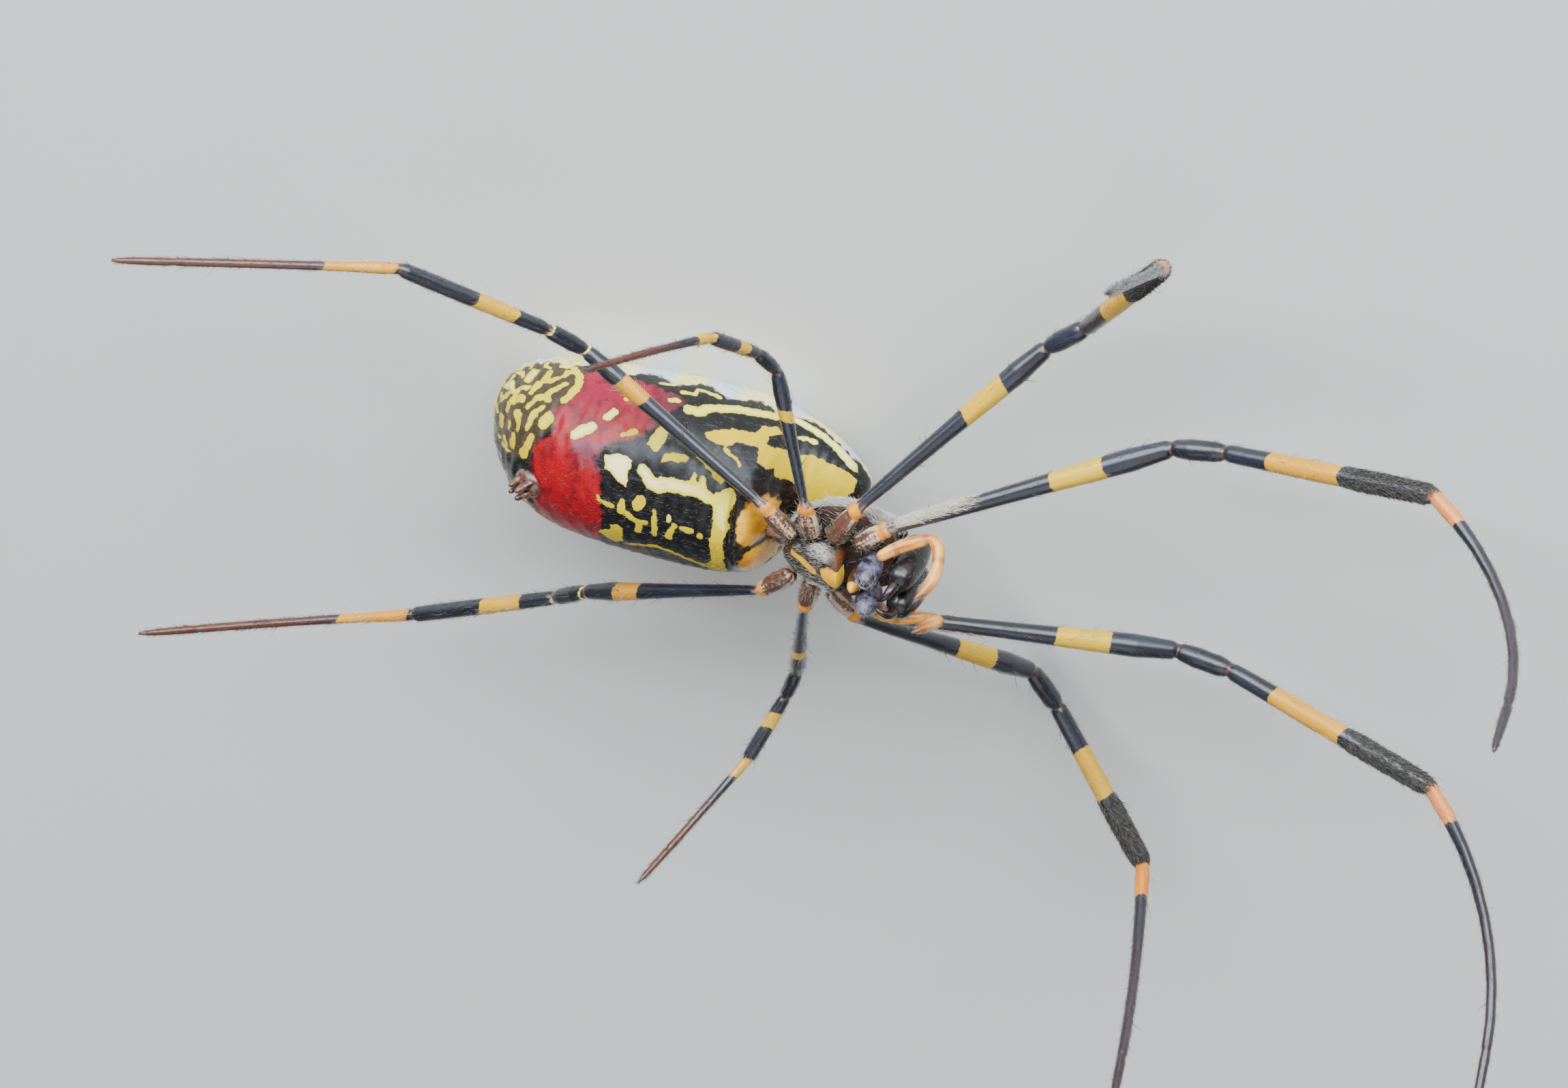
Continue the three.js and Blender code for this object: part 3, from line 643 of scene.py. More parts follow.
def coat(name, kind, grid, rng, lie, material, weights=1.0, pale=0.0, share=1):
    """Hairs over a grid: they rise from the skin by their kind's share, and lie along the given way."""
    number, radius, rise, setting = COATS[kind]
    count = int(number * share)
    rings, sides = grid.shape[:2]
    picks = picked(rng, grid, np.broadcast_to(weights, (rings, sides)), count)
    normals = unit(on_grid(grid_normals(grid), picks))
    along = on_grid(np.broadcast_to(lie, grid.shape), picks)
    along = unit(along - normals * np.sum(along * normals, axis=1, keepdims=True))
    stray = 0.28 * rng.standard_normal((count, 3))
    risen = np.clip(rise + 0.12 * rng.standard_normal((count, 1)), 0.05, 1)
    ways = unit(normals * risen + along * (1 - risen) + stray * 0.6)
    bends = unit(along - 0.35 * normals * risen + stray)
    length = getattr(bpy.context.scene.weaver_coat, setting) / MM
    lengths = length * (0.6 + 0.8 * rng.random(count))
    radii = radius * (0.8 + 0.4 * rng.random(count))
    places = np.stack([(picks[1] + picks[3]) / sides, (picks[0] + picks[2]) / rings], -1)
    values = {"pale": on_grid(np.broadcast_to(pale, (rings, sides)), picks), "shade": rng.random(count)}
    hairs(name, on_grid(grid, picks), ways, bends, lengths, radii, places, values, material)


# Markings


def to_line(spots, start, end):
    """Distance of each spot to a line between two places, in mm, and the nearest point's share of it."""
    x, angle, radius = spots
    dx = end[0] - start[0]
    run, off = (np.radians(turn - start[1]) * radius for turn in (end[1], angle))
    share = np.clip(((x - start[0]) * dx + off * run) / (dx * dx + run * run + 1e-9), 0, 1)
    return np.hypot(x - start[0] - share * dx, off - share * run), share


def stroke_depth(spots, stroke):
    """How deep each spot lies inside a stroke, in mm: its half width less the distance to its line."""
    _, start_half, end_half, places = stroke
    best = np.full(spots[0].shape, -FAR)
    for k, ends in enumerate(zip(places, places[1:])):
        distance, share = to_line(spots, *ends)
        half = start_half + (end_half - start_half) * (k + share) / (len(places) - 1)
        best = np.maximum(best, half - distance)
    return best


def patch_depth(spots, places):
    """How deep each spot lies inside an outline, in mm, and below zero outside it."""
    x, angle, _ = spots
    away = np.full(x.shape, FAR)
    inside = np.zeros(x.shape, bool)
    for (x0, a0), (x1, a1) in zip(places, places[1:] + places[:1]):
        away = np.minimum(away, to_line(spots, (x0, a0), (x1, a1))[0])
        if a0 != a1:
            crosses = (a0 > angle) != (a1 > angle)
            inside ^= crosses & (x < (x1 - x0) * (angle - a0) / (a1 - a0) + x0)
    return np.where(inside, away, -away)


def layered(layers, depth, tone):
    """Depths and tones with layers of (depth, tone) laid over them: the deepest shows its tone."""
    for found, shade in layers:
        tone = np.where(found > depth, shade, tone)
        depth = np.maximum(depth, found)
    return depth, tone


def waves(points, spacing, seed, count=28):
    """A field of spots and worms: the sum of plane waves of one length in seeded random ways."""
    rng = np.random.default_rng(seed)
    ways = unit(rng.standard_normal((count, 3))) * (2 * np.pi / spacing)
    phases = rng.random(count) * 2 * np.pi
    total = np.zeros(points.shape[:-1])
    for way, phase in zip(ways, phases):
        total += np.cos(points @ way + phase)
    return total / math.sqrt(count / 2)


def off_lung(angle):
    """Degrees round from the middle of the nearer lung cover."""
    return np.abs(angle - LUNG_COVERS["middle"]) - LUNG_COVERS["off"]


def abdomen_markings(grid, angle):
    """Signed depths and tones of each kind of marking at every point of the abdomen's grid."""
    x = grid[..., 0]
    half = np.abs(grid[..., 1]).max(axis=1)[:, None]
    radius = (half + np.ptp(grid[..., 2], axis=1)[:, None] / 2) / 2 + np.zeros_like(x)
    flank = np.abs(angle)
    sides, under = (x, flank, radius), (x, angle, radius)
    ragged = 0.022 * waves(grid, 0.5, seed=3) + 0.012 * waves(grid, 0.22, seed=4)
    net = patch_depth(sides, NETWORK)
    depth, tone = np.full(x.shape, -FAR), np.ones(x.shape)
    for spots, strokes, patches in (
            (sides, NET_STROKES + FLANK_STROKES, FLANK_PATCHES), (under, BELLY_STROKES, BELLY_PATCHES)):
        layers = [(stroke_depth(spots, stroke), stroke[0]) for stroke in strokes]
        layers += [(patch_depth(spots, places), shade) for shade, places in patches]
        depth, tone = layered(layers, depth, tone)
    back_turn = np.maximum(np.radians(flank - 99) * radius, -10.6 - x)
    under_turn = np.minimum(np.radians(16 - flank) * radius, -8.9 - x)
    reach = np.minimum(net - 0.1, np.maximum(back_turn, under_turn))
    dots = np.minimum(0.2 * (waves(grid, NETWORK_WAVE, seed=7) - 0.3), reach)
    depth, tone = layered([(dots, 0.9)], depth, tone)
    curve = 0.35 * np.cos(np.radians(180 - flank) * 2)
    bands = np.max([wide - np.abs(x - middle + curve) for middle, wide in BACK_BANDS], axis=0)
    long, wide = LUNG_COVERS["half"]
    cover = np.hypot((x - LUNG_COVERS["x"]) / long, off_lung(angle) / wide)
    return {
        "marks": depth + ragged + MARK_GROWTH, "tone": tone, "network": net,
        "back": np.radians(flank - DORSAL_EDGE - 4 * np.sin(2.1 * x)) * radius + 3 * ragged,
        "bands": bands + 3 * ragged, "crimson": patch_depth(sides, CRIMSON) + 3 * ragged,
        "dusk": patch_depth(sides, DUSK) + 8 * ragged, "cover": 1 - cover + 2 * ragged,
        "front": ramp(x, 3.75, 0.2) * ramp(flank, 48, -8),
    }


# Materials


def linear(red, green, blue):
    """A colour as it is read off a picture, 0 to 255, as linear light with full alpha."""
    parts = [part / 255 for part in (red, green, blue)]
    return tuple(p / 12.92 if p <= 0.04045 else ((p + 0.055) / 1.055) ** 2.4 for p in parts) + (1.0,)


class Value:
    """One output in a material's nodes. Arithmetic on it adds Math nodes."""

    def __init__(self, paint, socket):
        self.paint = paint
        self.socket = socket

    def math(self, operation, other):
        return self.paint.node("ShaderNodeMath", {"operation": operation}, {0: self, 1: other})

    def __add__(self, other):
        return self.math("ADD", other)

    __radd__ = __add__

    def __sub__(self, other):
        return self.math("SUBTRACT", other)

    def __rsub__(self, other):
        return (self * -1) + other

    def __mul__(self, other):
        return self.math("MULTIPLY", other)

    __rmul__ = __mul__

    def step(self, low, high):
        """0 below low, 1 above high, smooth between."""
        settings = {"interpolation_type": "SMOOTHSTEP"}
        inputs = {"Value": self, "From Min": low, "From Max": high}
        return self.paint.node("ShaderNodeMapRange", settings, inputs)


def as_colour(value):
    """A colour for a socket: a mix as it is, a setting with its alpha, or three parts of 0 to 255."""
    if isinstance(value, Value):
        return value
    return linear(*value) if len(value) == 3 else tuple(value)


class Paint:
    """A material being made of nodes."""

    def __init__(self, name):
        self.material = bpy.data.materials.new(name)
        self.material.use_nodes = True
        self.tree = self.material.node_tree

    def feed(self, socket, value):
        if isinstance(value, Value):
            self.tree.links.new(value.socket, socket)
        else:
            socket.default_value = value

    def node(self, kind, settings=None, inputs=None, output=0):
        made = self.tree.nodes.new(kind)
        for key, value in (settings or {}).items():
            setattr(made, key, value)
        for key, value in (inputs or {}).items():
            self.feed(made.inputs[key], value)
        return Value(self, made.outputs[output])

    def attribute(self, name, vector=False):
        return self.node("ShaderNodeAttribute", {"attribute_name": name}, output=1 if vector else 2)

    def place(self):
        """The point in millimetres."""
        metres = self.node("ShaderNodeTexCoord", output=3)
        return self.node("ShaderNodeVectorMath", {"operation": "SCALE"}, {0: metres, "Scale": 1 / MM})

    def axis(self, place, number):
        return self.node("ShaderNodeSeparateXYZ", None, {0: place}, number)

    def stretched(self, place, factors):
        return self.node("ShaderNodeVectorMath", {"operation": "MULTIPLY"}, {0: place, 1: factors})

    def noise(self, place, scale, detail=3.0, rough=0.55):
        inputs = {"Vector": place, "Scale": scale, "Detail": detail, "Roughness": rough}
        return self.node("ShaderNodeTexNoise", None, inputs)

    def mix(self, factor, a, b):
        inputs = {0: factor, 6: as_colour(a), 7: as_colour(b)}
        return self.node("ShaderNodeMix", {"data_type": "RGBA"}, inputs, 2)

    def over(self, ground, *layers):
        """A ground with colours laid over it in turn, each as far as its factor says."""
        for factor, colour in layers:
            ground = self.mix(factor, ground, colour)
        return ground

    def toned(self, tone, colours):
        """The pale markings' colour at a tone."""
        ground, *others = (getattr(colours, name) for name in TONES)
        for k, colour in enumerate(others):
            inputs = {"Value": tone, "From Min": k, "From Max": k + 1}
            ground = self.mix(self.node("ShaderNodeMapRange", None, inputs), ground, colour)
        return ground

    def bump(self, height, distance, strength):
        inputs = {"Height": height, "Distance": distance * MM, "Strength": strength}
        return self.node("ShaderNodeBump", None, inputs)

    def finish(self, **sockets):
        """Sets the shader's sockets, given with _ for each space of their names."""
        for key, value in sockets.items():
            self.feed(self.tree.nodes["Principled BSDF"].inputs[key.replace("_", " ")], value)
        return self.material


def abdomen_material(colours):
    """Black with lighter streaks of painted sheen, crimson rear, pale banded back with a painted
    bluish-white sheen in its slate, brown front, and the pale markings over them.
    """
    paint = Paint("abdomen skin")
    place = paint.place()
    fine = paint.noise(place, 6.0, 4.0)
    broad = paint.noise(place, 1.1)
    speck = paint.noise(place, 3.2, 5.0, 0.7)
    streak = paint.noise(paint.stretched(place, (0.3, 1.5, 1.5)), 2.6, 5.0, 0.65)

    def frayed(name, share):
        """A marking's depth with its edge frayed by the specks."""
        return paint.attribute(name) + (speck - 0.5) * share

    # The black ground gets lighter bluish grey streaks of painted sheen.
    dark = paint.over(
        colours.charcoal, (streak.step(0.52, 0.8), colours.sheen_streaks),
        (fine.step(0.62, 0.745) * 0.18, (150, 150, 146)),
        (paint.attribute("network").step(-0.15, 0.15), paint.mix(speck, (28, 20, 12), (84, 68, 42))))
    red = paint.over(
        colours.crimson, (paint.axis(place, 2).step(5.0, 7.6), colours.deep_crimson),
        (paint.axis(place, 0).step(-2.2, -0.6) * 0.85, (84, 34, 48)),
        (fine.step(0.56, 0.727) * 0.25, (214, 60, 90)),
        ((1 - broad.step(0.375, 0.5)) * 0.5, (66, 8, 22)),
        (frayed("dusk", 0.8).step(-0.3, 0.3) * 0.8, (104, 66, 78)))
    # The back's cream bands lie between slate that is partly its own blue grey and partly a painted
    # bluish-white sheen along the dorsal edge.
    back = paint.mix(
        frayed("bands", 0.3).step(-0.1, 0.1), paint.mix(speck, (222, 204, 120), (244, 236, 176)),
        paint.mix(speck, (150, 160, 174), (232, 236, 238)))
    front = paint.attribute("front")
    covered = paint.attribute("cover").step(-0.06, 0.1)
    ground = paint.over(
        dark, (frayed("crimson", 0.6).step(-0.12, 0.22), red),
        (frayed("back", 0.3).step(-0.1, 0.15), back),
        (front, paint.mix(streak.step(0.45, 0.75), (14, 8, 8), (66, 38, 26))),
        (covered, paint.mix(broad.step(0.3, 0.7), (200, 126, 2), (240, 180, 20))))
    depth = paint.attribute("marks")
    tone = paint.attribute("tone")
    pale = paint.over(
        paint.toned(tone, colours), (speck.step(0.45, 0.7) * 0.2, (206, 166, 12)),
        (depth.step(0.06, 0.26) * (1 - tone.step(0.7, 1.25)) * 0.5, (255, 253, 226)))
    marks = depth + (fine - 0.5) * 0.16
    painted = marks.step(-0.015, 0.03)
    colour = paint.over(
        ground, (marks.step(-0.08, 0.0), paint.mix(0.3, ground, (60, 48, 14))), (painted, pale))
    pores = paint.noise(place, 9.0, 2.0)
    wrinkles = paint.noise(paint.stretched(place, (1.0, 0.45, 0.45)), 2.6, 4.0, 0.6)
    height = pores * 0.3 + wrinkles * 0.7 + marks.step(-0.05, 0.1) * 0.35
    return paint.finish(
        Base_Color=colour, Roughness=0.36 + wrinkles * 0.18 - front * 0.12,
        Specular_IOR_Level=0.22, Coat_Roughness=0.25,
        Coat_Weight=0.3 + front * 0.3 + covered * 0.3 - painted * 0.3,
        Sheen_Weight=0.02, Sheen_Roughness=0.4, Sheen_Tint=(0.75, 0.86, 1.0, 1.0),
        Subsurface_Weight=0.04, Subsurface_Scale=0.0006, Normal=paint.bump(height, 0.05, 0.8),
    )


def leg_material(colours):
    """Blue black with pale bands, brown and striped at the coxa, and red brown at the joints and foot."""
    paint = Paint("leg cuticle")
    lengthwise = paint.attribute("lengthwise", True)
    streak = paint.noise(lengthwise, 3.0, 4.0, 0.6)
    stripes = paint.noise(paint.stretched(lengthwise, (2.4, 2.4, 1.6)), 1.0, 2.0, 0.5)
    fine = paint.noise(paint.place(), 7.0)
    base = paint.attribute("base")
    brown = paint.over(
        paint.mix(fine, (34, 18, 12), (112, 62, 34)),
        ((stripes + (fine - 0.5) * 0.3).step(0.52, 0.62) * 0.7, (222, 190, 158)))
    ground = paint.over(
        colours.cuticle, (streak.step(0.3, 0.8), (36, 40, 58)),
        (paint.attribute("foot"), paint.mix(streak, (50, 18, 10), (118, 54, 26))),
        (base, brown), (paint.attribute("joint").step(0.5, 0.95) * 0.6, (92, 46, 24)))
    pale = paint.over(
        paint.toned(paint.attribute("tone"), colours), (streak.step(0.4, 0.7) * 0.22, (252, 208, 90)),
        (fine.step(0.5, 0.8) * 0.25, (178, 92, 10)))
    ring = (paint.attribute("band") + (streak - 0.5) * 0.3).step(-0.03, 0.06)
    return paint.finish(
        Base_Color=paint.mix(ring, ground, pale),
        Roughness=0.3 + streak * 0.16 + base * 0.2 + ring * 0.1,
        Specular_IOR_Level=0.3, Coat_Weight=ring * -0.75 + 0.95, Coat_Roughness=0.28,
        Sheen_Weight=0.14, Sheen_Roughness=0.35, Sheen_Tint=(0.8, 0.88, 1.0, 1.0),
        Normal=paint.bump(streak * 0.5 + fine * 0.5, 0.03, 0.7),
    )


def shield_material(name):
    """Brown or black cuticle of the trunk and mouthparts, mottled between two colours."""
    dark, light, marks, gloss = SHIELDS[name]
    paint = Paint(name)
    place = paint.place()
    mottle = paint.noise(place, 2.2, 5.0, 0.6)
    fine = paint.noise(place, 9.0)
    layers = [(mottle.step(0.35, 0.7), light), (paint.attribute("warm") * 0.7, (122, 58, 14))]
    if marks:
        depth = paint.attribute("marks") + (mottle - 0.5) * 0.12
        layers.append((depth.step(-0.04, 0.06), marks))
    return paint.finish(
        Base_Color=paint.over(dark, *layers), Roughness=0.42 - gloss * 0.4 + mottle * 0.2,
        Coat_Weight=gloss, Coat_Roughness=0.15, Normal=paint.bump(mottle * 0.6 + fine * 0.4, 0.04, 0.7),
    )


def palp_material():
    """Orange with lighter streaks that are partly painted cream highlights, browner towards the tip and at
    the joints.
    """
    paint = Paint("palp")
    streak = paint.noise(paint.attribute("lengthwise", True), 3.0, 4.0)
    # The lighter streaks are partly the palp's own cream orange and partly painted cream highlights.
    colour = paint.over(
        (186, 88, 10), (streak.step(0.3, 0.7), (244, 176, 66)),
        (paint.attribute("share").step(0.75, 1.0), (120, 60, 26)),
        (paint.attribute("joint").step(0.3, 0.9) * 0.5, (110, 56, 30)))
    return paint.finish(
        Base_Color=colour, Roughness=0.3 + streak * 0.15, Coat_Weight=0.35, Coat_Roughness=0.15,
        Normal=paint.bump(streak, 0.03, 0.6),
    )


def eye_material():
    paint = Paint("eye")
    colour = paint.mix(paint.noise(paint.place(), 3.0, 2.0), (8, 6, 6), (36, 22, 14))
    return paint.finish(Base_Color=colour, Roughness=0.06, Coat_Weight=1.0, Coat_Roughness=0.02)


def hair_material(name):
    """Hair between two colours, by its own shade and the pale value of the skin at its root."""
    dark, pale = HAIR_COLOURS[name]
    paint = Paint(name)
    pale_share = paint.attribute("pale") * 0.8 + paint.attribute("shade") * 0.2
    colour = paint.over(dark, (pale_share, pale), (paint.attribute("tip") * pale_share * 0.4, pale))
    return paint.finish(Base_Color=colour, Roughness=0.55)


# Pieces


def build_abdomen(colours):
    """The abdomen as one grid of even rings, with its furrow, lung covers and pleats raised in it."""
    angle = np.linspace(-180, 180, ABDOMEN["sides"], endpoint=False)
    grid, normals, turn = trunk_grid(ABDOMEN, np.radians(90 - angle))
    angle = np.broadcast_to(angle, turn.shape)
    x = grid[..., 0]
    furrow = -0.26 * hill(x, FURROW_X, 0.14) * hill(angle, 0, 40, 4)
    lungs = 0.16 * mound(x, off_lung(angle), (LUNG_COVERS["x"], 0), (0.68, 16), 4)
    plate = 0.2 * mound(x, angle, (4.05, 0), (0.35, 6))
    pleats = 0.018 * waves(grid * (1.0, 0.35, 0.35), 0.5, seed=11) * (0.6 + ramp(x, -6.0, -3))
    grid = raised(ABDOMEN, grid, normals, furrow + lungs + plate + pleats)
    markings = abdomen_markings(grid, angle)
    skin("abdomen_skin", grid, abdomen_material(colours), ["abdomen"], markings)
    density = 0.3 + ramp(x, -8.0, -2) + hill(angle, 0, 50, 4) * 0.4
    coat("abdomen_hair", "abdomen_hair", grid, np.random.default_rng(21), (-1.0, 0, 0),
         hair_material("abdomen hair"), density * ramp(grid[..., 2], 0.25, 1),
         ramp(markings["marks"], -0.125, 0.25))


def leg_layout(pair, side_name):
    """A leg's joints as a polyline, with the length along it where each segment ends."""
    side = SIDES[side_name]
    hip, seat = (on_side(pair[key], side) for key in ("hip", "seat"))
    azimuth, elevation = np.radians(np.array(pair[side_name])).T
    level = np.cos(elevation)
    ways = np.stack([level * np.cos(azimuth), side * level * np.sin(azimuth), np.sin(elevation)], -1)
    *straight, metatarsus, tarsus = pair["lengths"]
    points = [hip, seat]
    for way, length in zip(ways, straight):
        points.append(points[-1] + way * length)
    ankle, toe = ways[3:]
    bend = np.arccos(np.clip(ankle @ toe, -1, 1))
    aside = unit(toe - ankle * (ankle @ toe))
    turned = bend * (np.arange(TURN_STEPS) + 0.5) / TURN_STEPS
    steps = ankle * np.cos(turned)[:, None] + aside * np.sin(turned)[:, None]
    arc = points[-1] + np.cumsum(steps, axis=0) * metatarsus / TURN_STEPS
    points = np.vstack([points, arc, arc[-1] + toe * tarsus])
    lengths = [np.linalg.norm(seat - hip), *pair["lengths"]]
    return points, np.concatenate([[0], np.cumsum(lengths)])


def along_leg(ends, segment, share):
    """The length along a leg at a share of one of its segments."""
    k = SEGMENTS.index(segment)
    return ends[k] + (ends[k + 1] - ends[k]) * share


def leg_radius(at, ends, stout, joint):
    """Radii along a leg: its segments' profiles, drawn in at each joint and rounded off at both ends."""
    places, radii = [], []
    for segment, profile in LEG_PROFILES.items():
        for share, radius in profile:
            places.append(along_leg(ends, segment, np.clip(share, 0.02, 0.985)))
            radii.append(radius * (1 if segment == "coxa" else stout))
    radius = np.interp(at, places, radii) * (1 - LEG_PINCH * joint) - LEG_INSET
    return round_ends(radius, at + HIP_LEAD, 0.25)


def leg_bands(index, ends, place, angle):
    """How deep each point lies in a coloured band, in mm, and the band's tone."""
    oblique = 0.16 * np.cos(angle - 0.6)
    layers = []
    for segment, start, end, shade in [*LEG_BANDS[index], TROCHANTER_BAND]:
        low, high = (along_leg(ends, segment, share) for share in (start, end))
        layers.append((np.minimum(place - low + oblique, high - place - oblique), shade))
    return layered(layers, np.full(place.shape, OFF_BAND), np.full(place.shape, 2.0))


def build_leg(index, side_name, material, hair):
    """One leg as a single skin from hip to foot: bands, joints and hair follow the length along it."""
    name = f"leg_{side_name}_{index + 1}"
    corners, ends = leg_layout(PAIRS[index], side_name)
    corners[0] -= unit(corners[1] - corners[0]) * HIP_LEAD
    path, at = resampled(corners, LEG_STEP)
    path = rounded(path, 0.2, at[1])
    at = at / at[-1] * (ends[-1] + HIP_LEAD) - HIP_LEAD
    joint = np.max([hill(at, end, 0.17) for end in ends[1:5]], axis=0)
    radius = leg_radius(at, ends, PAIRS[index]["stout"], joint)
    grid = above_floor(limb_surface(path, radius, LEG_SIDES))
    angle = ring_angles(LEG_SIDES)
    place = at[:, None] + 0 * angle
    band, tone = leg_bands(index, ends, place, angle)
    base = ramp(place, ends[1] + 0.5, -0.6)
    values = {
        "band": band, "tone": tone, "joint": joint[:, None] + 0 * angle, "base": base,
        "foot": FOOT_RED[index] * ramp(place, ends[4] + 2, (ends[6] - ends[4] - 2) / 2.5),
        "lengthwise": unrolled(angle, place, 0.5, 0.12, index * 7),
    }
    nodes = [f"{name}_{part}" for part in ("coxa", "femur", "tibia", "metatarsus")]
    skin(f"{name}_skin", grid, material, nodes, values)
    lie = limb_frames(path)[0][:, None]
    rng = np.random.default_rng(100 + 10 * index + SIDES[side_name])

    def grow(kind, weights, pale, share=1):
        coat(f"{name}_{kind}", kind, grid, rng, lie, hair, weights, pale, share)

    density = 0.5 - 0.2 * base + 0.7 * ramp(place, ends[2], 3)
    pale = np.maximum(ramp(band, -1 / 6, 1 / 3) * 0.8, base * 0.2)
    grow("hair", density * (0.25 / np.maximum(radius, 0.1))[:, None], pale, ends[-1] ** 0.5)
    grow("spines", np.where((place > ends[1] + 1.5) & (place < ends[5]), 1.0, 0.02), pale * 0.25, ends[-1])
    grow("fuzz", ramp(place, 0.45 * ends[1], -0.45 * ends[1]) + 0.002, 0.3)
    if index == 0:
        facing = grid_normals(grid) @ (0, 0.8 * SIDES[side_name], -0.5)
        past_seat = place - ends[1]
        whitened = ramp(past_seat, 0.2, 0.3) * ramp(past_seat, RUFF_LENGTH, -RUFF_LENGTH)
        grow("ruff", whitened * ramp(facing, -0.3, 1), 1.0)
    if index < 2:
        grow("brush", ramp(place, along_leg(ends, "tibia", 0.55), 1) * (place < ends[4]), 0.0)
    build_claws(name, path[-1], limb_frames(path)[0][-1], material)


def build_claws(name, foot, way, material):
    """Two curved claws at the foot's tip, each a tapered horn: a short arc with a falling radius."""
    aside = unit(np.cross(way, [0.3, 0.5, 0.8]))
    down = np.cross(way, aside)
    share = np.linspace(0, 1, 12)[:, None]
    parts = []
    for lean in (-1, 1):
        root = foot - way * 0.1 + aside * 0.03 * lean
        curve = root + way * 0.3 * share + down * 0.16 * share**2 + aside * 0.06 * lean * share
        parts.append(limb_surface(curve, 0.045 * (1.02 - share[:, 0]), 8))
    points, faces = closed_parts(parts)
    points = np.clip(points, *BOX)
    every = np.ones(len(points))
    values = {"band": OFF_BAND * every, "foot": 0.6 * every, "lengthwise": points}
    attach(new_mesh(f"{name}_claws", points, faces, material, values))


def build_carapace(hair):
    """The head and thorax shield, with a raised head, a middle pit and furrows that run out from it."""
    grid, normals, turn = trunk_grid(CARAPACE, ring_angles(CARAPACE["sides"]))
    x, y = grid[..., 0], grid[..., 1]
    pit = -0.3 * mound(x, y, (PIT, 0), (0.28, 0.45))
    bearing = np.arctan2(np.abs(y), x - PIT - 0.1)
    far = np.hypot(x - PIT, y)
    furrows = sum(hill(bearing, at, 0.09) for at in FURROW_BEARINGS)
    furrows = -0.12 * furrows * ramp(far, 0.4, 0.6) * ramp(far, 2.9, -0.8)
    head = 0.04 * mound(x, y, (11.6, 0), (0.9, 1.2))
    upper = np.clip(-np.sin(turn) * 1.4, 0, 1)
    grid = raised(CARAPACE, grid, normals, (pit + furrows + head) * upper)
    skin("carapace_skin", grid, shield_material("carapace"), ["carapace"])
    outward = unit(np.stack([x - PIT, y * 1.2, 0 * x], -1))
    lie = unit(np.array([-0.6, 0, 0]) + 0.4 * outward)
    above = np.clip(0.3 - np.sin(turn), 0.02, 1) * np.clip((12.45 - x) / 0.5, 0.1, 1)
    pale = np.clip(0.75 + 0.125 * waves(grid, 1.4, seed=9), 0, 1)
    coat("carapace_hair", "carapace_hair", grid, np.random.default_rng(5), lie, hair,
         above, pale)
    bead = eye_material()
    for place, (at, degrees) in EYES.items():
        centre = trunk_surface(CARAPACE, np.array([at]), np.radians([degrees]))[0]
        for side_name, side in SIDES.items():
            eye = f"eye_{place}_{side_name}"
            skin(f"{eye}_bead", ball(on_side(centre, side), [EYE_RADIUS] * 3), bead, [eye])


def build_sternum(hair, rng):
    """The breast plate, heart-shaped and raised at its hips, with two yellow marks on its middle."""
    grid, normals, turn = trunk_grid(STERNUM, ring_angles(STERNUM["sides"]))
    x, y = grid[..., 0], grid[..., 1]
    above = np.clip(np.sin(turn) * 1.5, 0, 1)
    bumps = sum(mound(x, np.abs(y), at, (0.3, 0.3)) for at in HIP_BUMPS)
    grid = raised(STERNUM, grid, normals, (0.14 * bumps - 0.05) * above)
    spots = (x, y, math.degrees(1))  # on a flat piece a place's second number is a distance too
    depth = np.maximum(stroke_depth(spots, STERNUM_STROKE), patch_depth(spots, STERNUM_PATCH))
    depth = np.where(above > 0, depth, -1.0)
    values = {"marks": depth, "warm": mound(x, np.abs(y), (10.15, 1.0), (0.3, 0.35))}
    skin("sternum_skin", grid, shield_material("breast plate"), ["sternum"], values)
    silver = mound(x, np.abs(y), (9.15, 1.3), (0.6, 0.42), 4)
    pale = np.clip(0.1 + 0.9 * silver + 0.1 * waves(grid, 0.8, seed=10), 0, 1)
    coat("sternum_hair", "sternum_hair", grid, rng, (-1.0, 0, 0), hair,
         above * np.where(depth > 0, 0.02, 0.25 + silver) + 0.005, pale)


def build_lips(hair, rng):
    """The lower lip with its pale tip and the two mouth lobes with their fringes, as stretched balls."""
    labium = ball(LABIUM["at"], LABIUM["half"], 40, 48)
    tip = {"marks": (labium[..., 2] - LABIUM["at"][2]) / LABIUM["half"][2] - 0.62}
    skin("labium_skin", labium, shield_material("lower lip"), ["labium"], tip)
    material = shield_material("mouth lobes")
    for side_name, side in SIDES.items():
        name = f"maxilla_{side_name}"
        lobe = ball(on_side(MAXILLA["at"], side), MAXILLA["half"], 44, 52)
        skin(f"{name}_skin", lobe, material, [name])
        fringe = np.clip((lobe[..., 2] - MAXILLA["at"][2]) / 1.1, 0.02, 1) ** 3
        coat(f"{name}_hair", "maxilla_hair", lobe, rng, (0.2, -0.4 * side, 1.0), hair,
             fringe, 0.6)


def build_horn(form, side, round_over, sides):
    """A curved tapering piece: circles of the profile's radii along its path."""
    corners = on_side(form["path"], side)
    path, at = resampled(catmull(corners, np.linspace(0, 1, 60)), 0.05)
    share = at / at[-1]
    radius = np.interp(share, *np.array(form["profile"]).T) - HORN_INSET
    grid = limb_surface(path, round_ends(radius, at, round_over), sides)
    values = {
        "share": share[:, None] + np.zeros(sides),
        "lengthwise": unrolled(ring_angles(sides), at[:, None], 0.4, 0.2),
    }
    return path, grid, values


